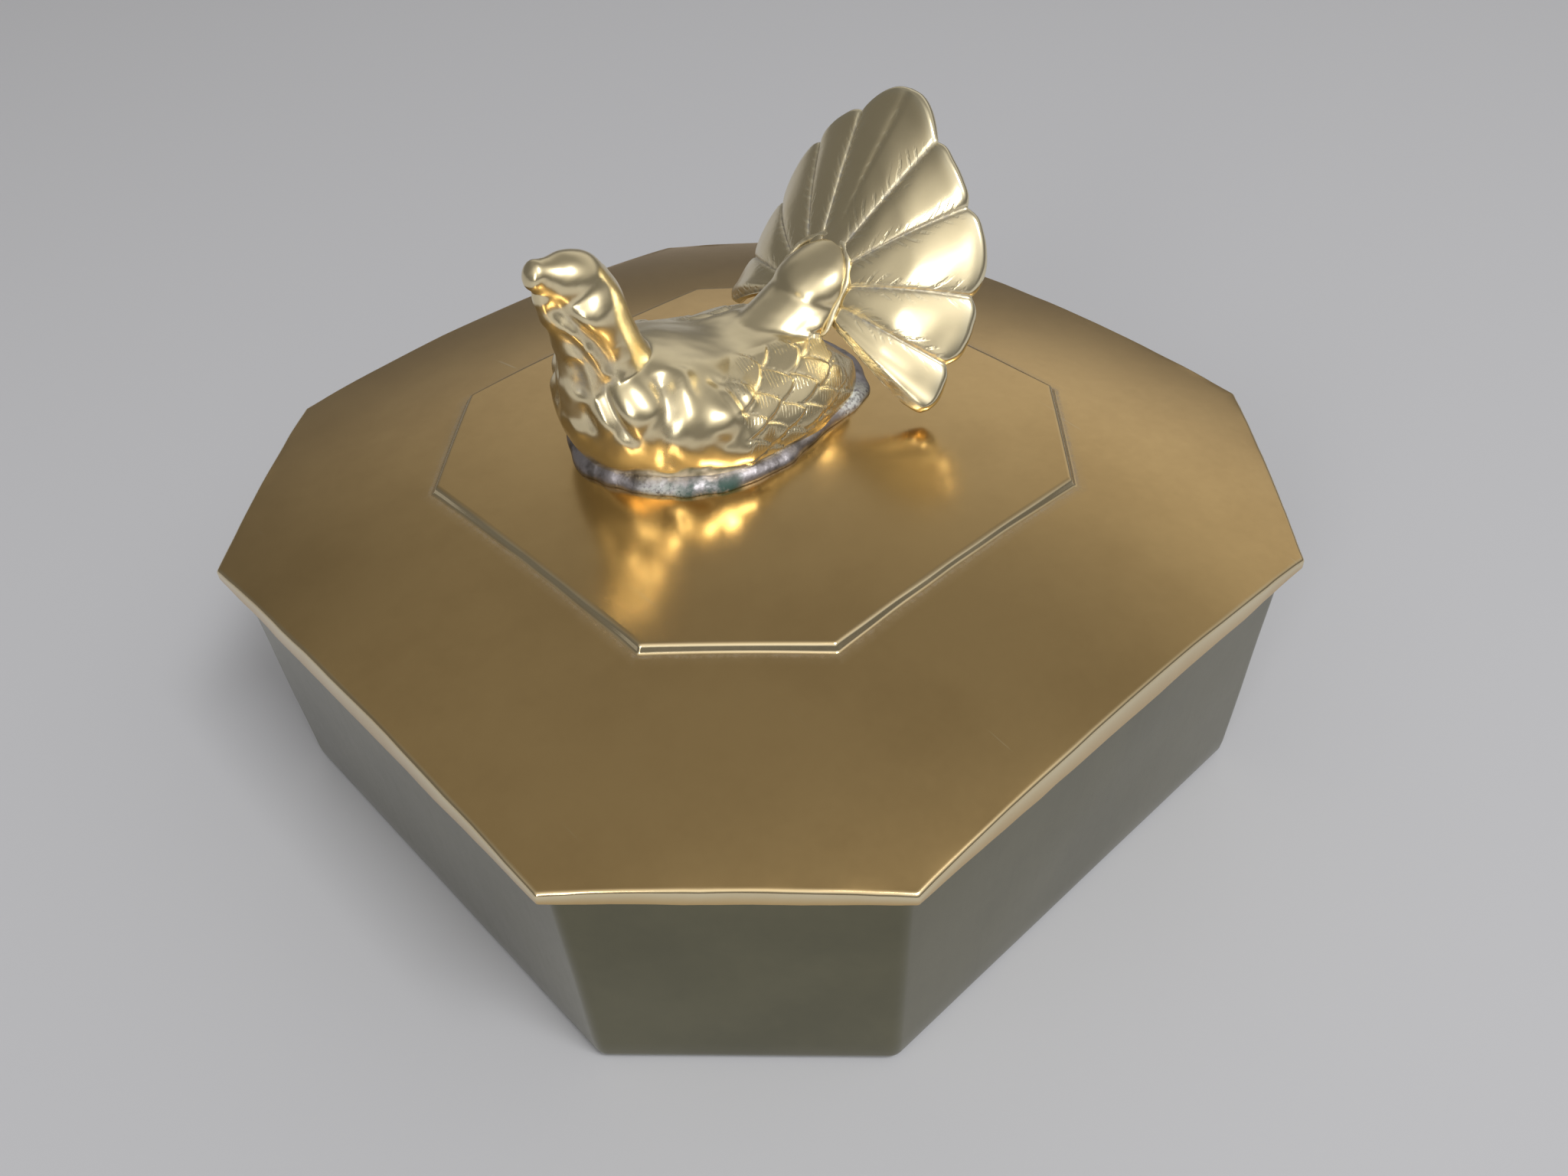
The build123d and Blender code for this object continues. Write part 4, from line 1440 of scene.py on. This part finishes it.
@dataclass
class Bead:
    """Solder: the bead round the bird's foot and the thin one between rump and fan."""

    perch: Perch
    lid: Lid
    outline: tuple[tuple[float, float], ...] = (
        (-54.9, 0.0),
        (-54.2, -4.0),
        (-52.4, -9.0),
        (-48.4, -15.4),
        (-42.6, -20.4),
        (-35.4, -23.6),
        (-25.0, -23.8),
        (-14.0, -20.8),
        (-5.0, -18.6),
        (1.0, -16.4),
        (5.6, -11.0),
        (8.2, -5.0),
        (8.8, 0.0),
    )
    wall: float = 2.2
    width: float = 4.2
    sunk: float = 0.12
    columns: int = 420
    seam_depth: float = 0.35
    seam_radius: float = 0.38

    def stain(self, points: Array, width: float, *line: Triple) -> Array:
        """A soft patch along a line on the plateau, exp(-(distance / width)^2)."""
        gap, _ = away(points * (1, 1, 0), line)
        return np.exp(-((gap / width) ** 2))

    def build(self) -> Piece:
        """A rounded bead that follows the outline, from the body's wall down to the plateau."""
        near = np.array(self.outline)
        loop = np.concatenate([near, (near * (1, -1))[-2:0:-1], near[:1]])
        steps = np.concatenate([[0], np.cumsum(np.linalg.norm(np.diff(loop, axis=0), axis=1))])
        wrapped = np.concatenate([steps[-4:-1] - steps[-1], steps, steps[1:4] + steps[-1]])
        corners = np.concatenate([loop[-4:-1], loop, loop[1:4]])
        at = np.linspace(0, steps[-1], self.columns, endpoint=False)
        edge = through(wrapped, corners, at)
        along = np.roll(edge, -1, 0) - np.roll(edge, 1, 0)
        along /= np.linalg.norm(along, axis=1)[:, None]
        out = np.stack([along[:, 1], -along[:, 0]], -1)
        if (out * (edge - edge.mean(0))).sum() < 0:
            out = -out
        turn = np.linspace(0, math.pi / 2, 13)
        flat = np.stack([edge[:, 0], edge[:, 1], np.zeros(len(edge))], -1)
        swell = 1 + ripple(flat, 17.0, 0.5) * 0.25 + ripple(flat, 5.5, 1.9) * 0.07
        inset = self.width * (1 - np.sin(turn))
        spill = ripple(flat, 11.0, 3.0) * 0.4 * np.sin(turn)[:, None]
        rows = edge[None] - out[None] * inset[:, None, None] + out[None] * spill[..., None]
        height = (np.cos(turn) ** 0.8)[:, None] * self.wall * swell[None]
        ground = self.ground(rows)
        top = np.maximum(height + ground * np.sin(turn)[:, None], ground - self.sunk)
        top[-1] = ground[-1] - self.sunk
        under = np.stack([edge - out * self.width, edge - out * 0.4 * self.width])
        below = self.ground(under) - self.sunk
        xy = np.concatenate([rows, under[1:], under[:1]])
        z = np.concatenate([top, below[1:], below[:1]])
        points, faces = skin(np.concatenate([xy, z[..., None]], -1), joined=True)
        green = self.stain(points, 2.0, (-46.6, -17.2, 0), (-43.0, -20.4, 0), (-37.5, -23.2, 0))
        white = self.stain(points, 2.4, (-6.0, -17.4, 0), (0.0, -15.6, 0))
        crust = self.stain(points, 1.6, (-50.0, -13.5, 0), (-46.5, -17.4, 0)) * 0.6
        marks = {"verdigris": green, "flux": np.maximum(white, crust)}
        return Piece("foot_bead", Body.LID, self.perch.seat(points), faces, marks)

    def ground(self, xy: Array) -> Array:
        """Height of the plateau in the bird's frame."""
        flat = np.concatenate([xy, np.zeros(xy.shape[:-1] + (1,))], -1)
        return self.lid.plateau_over(self.perch.seat(flat)[..., :2]) - self.perch.z

    def seam(self, fan: Fan, outline: Array) -> Piece:
        """Thin bead where the rump lies against the fan.

        Args:
            fan: the fan.
            outline: places across and up the fan that the bead runs through, (n, 2).

        Returns:
            A flat tube along the outline.
        """
        up, side, back = fan.axes()
        count = len(outline)
        turns = np.linspace(0, count, 4 * count + 1)[:-1]
        line = through(np.arange(-2.0, count + 3.0), outline[np.arange(-2, count + 3) % count], turns)
        spine = side * line[:, :1] + up * line[:, 1:] - back * self.seam_depth
        along = np.roll(spine, -1, 0) - np.roll(spine, 1, 0)
        along /= np.linalg.norm(along, axis=1)[:, None]
        ahead = np.cross(along, back)
        ahead /= np.linalg.norm(ahead, axis=1)[:, None]
        ring = np.linspace(0, 2 * math.pi, 16, endpoint=False)
        radius = self.seam_radius + ripple(spine, 7.0, 1.3) * 0.14
        section = ahead[None] * np.cos(ring)[:, None, None] * 1.5 + back * np.sin(ring)[:, None, None]
        tube = spine[None] + section * radius[None, :, None]
        points, faces = skin(tube + fan.foot(), joined=True)
        marks = {"flux": np.full(len(points), 0.1)}
        return Piece("tail_seam", Body.LID, self.perch.seat(points), faces, marks)


@dataclass
class Lip:
    """The strip under the lid that drops inside the tub's mouth, with its fillet of solder."""

    lid: Lid
    half: float = 83.4
    thickness: float = 1.8
    depth: float = 7.0
    leg: float = 2.0
    round: float = 0.3

    def hoop(
        self, name: str, profile: list[tuple[float, float]], finish: Brass | Solder, node: str
    ) -> None:
        """Carries a closed profile of (half width, height over the seat) round the octagon."""
        half, high = np.array(profile).T
        xy, _ = octagon_rings(half, self.lid.cut_at(half), 1.0, 22, 5)
        z = np.broadcast_to((self.lid.seat + high)[:, None], xy.shape[:2])
        points, faces = skin(np.concatenate([xy, z[..., None]], -1), joined=True)
        Piece(name, Body.LID, points, faces).put(finish, node)

    def build(self, strip: Brass, solder: Solder) -> None:
        """Builds the strip and the fillet."""
        inner, r, low = self.half - self.thickness, self.round, -self.depth
        middle = -0.5 * self.depth
        outer = [(self.half, 0.0), (self.half, middle), (self.half, low + r), (self.half - r, low)]
        inside = [(inner + r, low), (inner, low + r), (inner, middle), (inner, 0.0)]
        self.hoop("lid_strip", outer + inside, strip, "lid_lip")
        turns = np.linspace(0.05, 1.5, 8)
        curve = [(inner - self.leg * (1 - math.sin(t)), -self.leg * (1 - math.cos(t))) for t in turns]
        fillet = [(inner, 0.0)] + curve + [(inner, -self.leg)]
        self.hoop("strip_solder", fillet, solder, "lip_solder")


# Studio


@dataclass
class Studio:
    """Plain pale floor, soft light and the camera at the photograph's viewing angle."""

    azimuth: float = -0.72439
    height: float = 0.71689
    distance: float = 2.59487
    aim: tuple[float, float] = (-0.21501, -0.31559)
    roll: float = -0.04962
    focal: float = 1703.18
    photo_width: float = 2048.0
    unit: float = 0.09
    level: float = 0.0539
    floor_half: float = 3.0
    target: Triple = (0, 0, 0.06)

    def camera(self) -> None:
        """Sets the camera by the place worked out from the lid's corners.

        Angles are in radians. Distance and aim are in half widths of the lid, each unit metres long, from the
        lid's middle, and focal is in pixels of the photograph.
        """
        az, el = self.azimuth, self.height
        back = Vector((math.sin(az) * math.cos(el), -math.cos(az) * math.cos(el), math.sin(el)))
        right = Vector((math.cos(az), math.sin(az), 0))
        up = back.cross(right)
        c, s = math.cos(self.roll), math.sin(self.roll)
        x, y = c * right + s * up, -s * right + c * up
        eye = (Vector((*self.aim, 0)) + back * self.distance) * self.unit + Vector((0, 0, self.level))
        data = bpy.data.cameras.new("view")
        data.sensor_width = 36.0
        data.lens = self.focal * data.sensor_width / self.photo_width
        data.clip_start, data.clip_end = 0.01, 20.0
        camera = bpy.data.objects.new("view", data)
        rows = [(x[i], y[i], back[i], eye[i]) for i in range(3)]
        camera.matrix_world = Matrix((*rows, (0, 0, 0, 1)))
        bpy.context.scene.collection.objects.link(camera)
        bpy.context.scene.camera = camera

    def floor(self) -> None:
        """A wide, plain, pale grey floor."""
        mesh = bpy.data.meshes.new("floor")
        r = self.floor_half
        mesh.from_pydata([(-r, -r, 0), (r, -r, 0), (r, r, 0), (-r, r, 0)], [], [(0, 1, 2, 3)])
        floor = bpy.data.objects.new("floor", mesh)
        material = bpy.data.materials.new("floor_matt")
        shader = Shader(material)
        grey = shade((0.52, 0.525, 0.55))
        shader.finish(shader.add("BsdfPrincipled", Base_Color=grey, Roughness=0.6))
        mesh.materials.append(material)
        bpy.context.scene.collection.objects.link(floor)

    def lamp(self, name: str, place: Triple, size: tuple[float, float], power: float) -> None:
        """Adds a soft area lamp that faces the box."""
        data = bpy.data.lights.new(name, "AREA")
        data.shape, data.size, data.size_y, data.energy = "RECTANGLE", size[0], size[1], power
        lamp = bpy.data.objects.new(name, data)
        lamp.location = place
        lamp.rotation_euler = (Vector(self.target) - Vector(place)).to_track_quat("-Z", "Y").to_euler()
        bpy.context.scene.collection.objects.link(lamp)

    def sky(self) -> None:
        """A soft room: a dim glow all round, a window at the far right and a bright ceiling on this side."""
        world = bpy.data.worlds.new("room")
        bpy.context.scene.world = world
        shader = Shader(world)
        where = shader.add("TexCoord", output="Generated")
        x, y, z = (shader.add("SeparateXYZ", output=axis, Vector=where) for axis in "XYZ")
        toward = x * 0.93 + y * 0.36
        window = toward.step(0.25, 0.95) * z.step(0.8, 0.45) * z.step(0.15, 0.4)
        near = (x * -0.45 + y * -0.89).step(-0.3, 0.8) * z.step(0.2, 0.8)
        strength = 0.16 + z.step(0.45, 0.75) * 0.1 + window * 0.5 + near
        glow = shader.add("Background", Color=shade((1.0, 0.98, 0.95)), Strength=strength)
        shader.finish(glow, "OutputWorld")

    def build(self) -> None:
        """Sets up the whole studio."""
        self.camera()
        self.floor()
        self.sky()
        self.lamp("key", (-0.05, -0.95, 1.5), (0.6, 0.45), 14.0)
        self.lamp("left", (-1.3, -0.5, 0.7), (0.3, 0.7), 3.5)


LID_BRASS = Brass(
    "lid_satin_brass", Slot.LID, (0.72, 0.50, 0.22), (0.54, 0.36, 0.15), roughness=0.2, pits=0.08
)
# Painted reflection: the tub's colour is set dark, about a quarter of its brass's own, so that its walls look
# as if they reflected dark surroundings rather than the pale floor.
TUB_BRASS_PAINTED_DARK = Brass(
    "tub_brass_painted_dark_reflection",
    Slot.TUB,
    (0.19, 0.178, 0.112),
    (0.12, 0.115, 0.075),
    roughness=0.2,
    brush_depth=0.04,
)
BIRD_BRASS = Brass(
    "bird_polished_brass",
    Slot.BIRD,
    (0.93, 0.80, 0.52),
    (0.78, 0.66, 0.40),
    roughness=0.24,
    brushing=(300.0, 300.0, 300.0),
    hatch=5.0,
)
SOLDER = Solder("soft_solder")
SEAM_SOLDER = Solder("bright_solder", colour=(0.88, 0.78, 0.54), dark=(0.70, 0.60, 0.38))


def main() -> None:
    """Loads the frame and builds the box piece by piece."""
    logging.basicConfig(level=logging.INFO, format="%(name)s: %(message)s")
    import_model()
    bpy.context.scene.view_settings.view_transform = "Standard"
    Studio().build()
    lid = Lid()
    Tub().build().put(TUB_BRASS_PAINTED_DARK, "base_tub")
    lid.build().put(LID_BRASS, "lid_plate")
    perch = Perch(z=lid.plateau_top + PERCH_LIFT)
    fan = Fan(perch)
    casting, contact = Bird(perch).build(fan)
    casting.put(BIRD_BRASS, "bird_body")
    fan.build().put(BIRD_BRASS, "tail_fan")
    bead = Bead(perch, lid)
    bead.build().put(SOLDER, "foot_solder")
    bead.seam(fan, contact).put(SEAM_SOLDER, "tail_solder")
    Lip(lid).build(LID_BRASS, SOLDER)


if __name__ == "__main__":
    main()
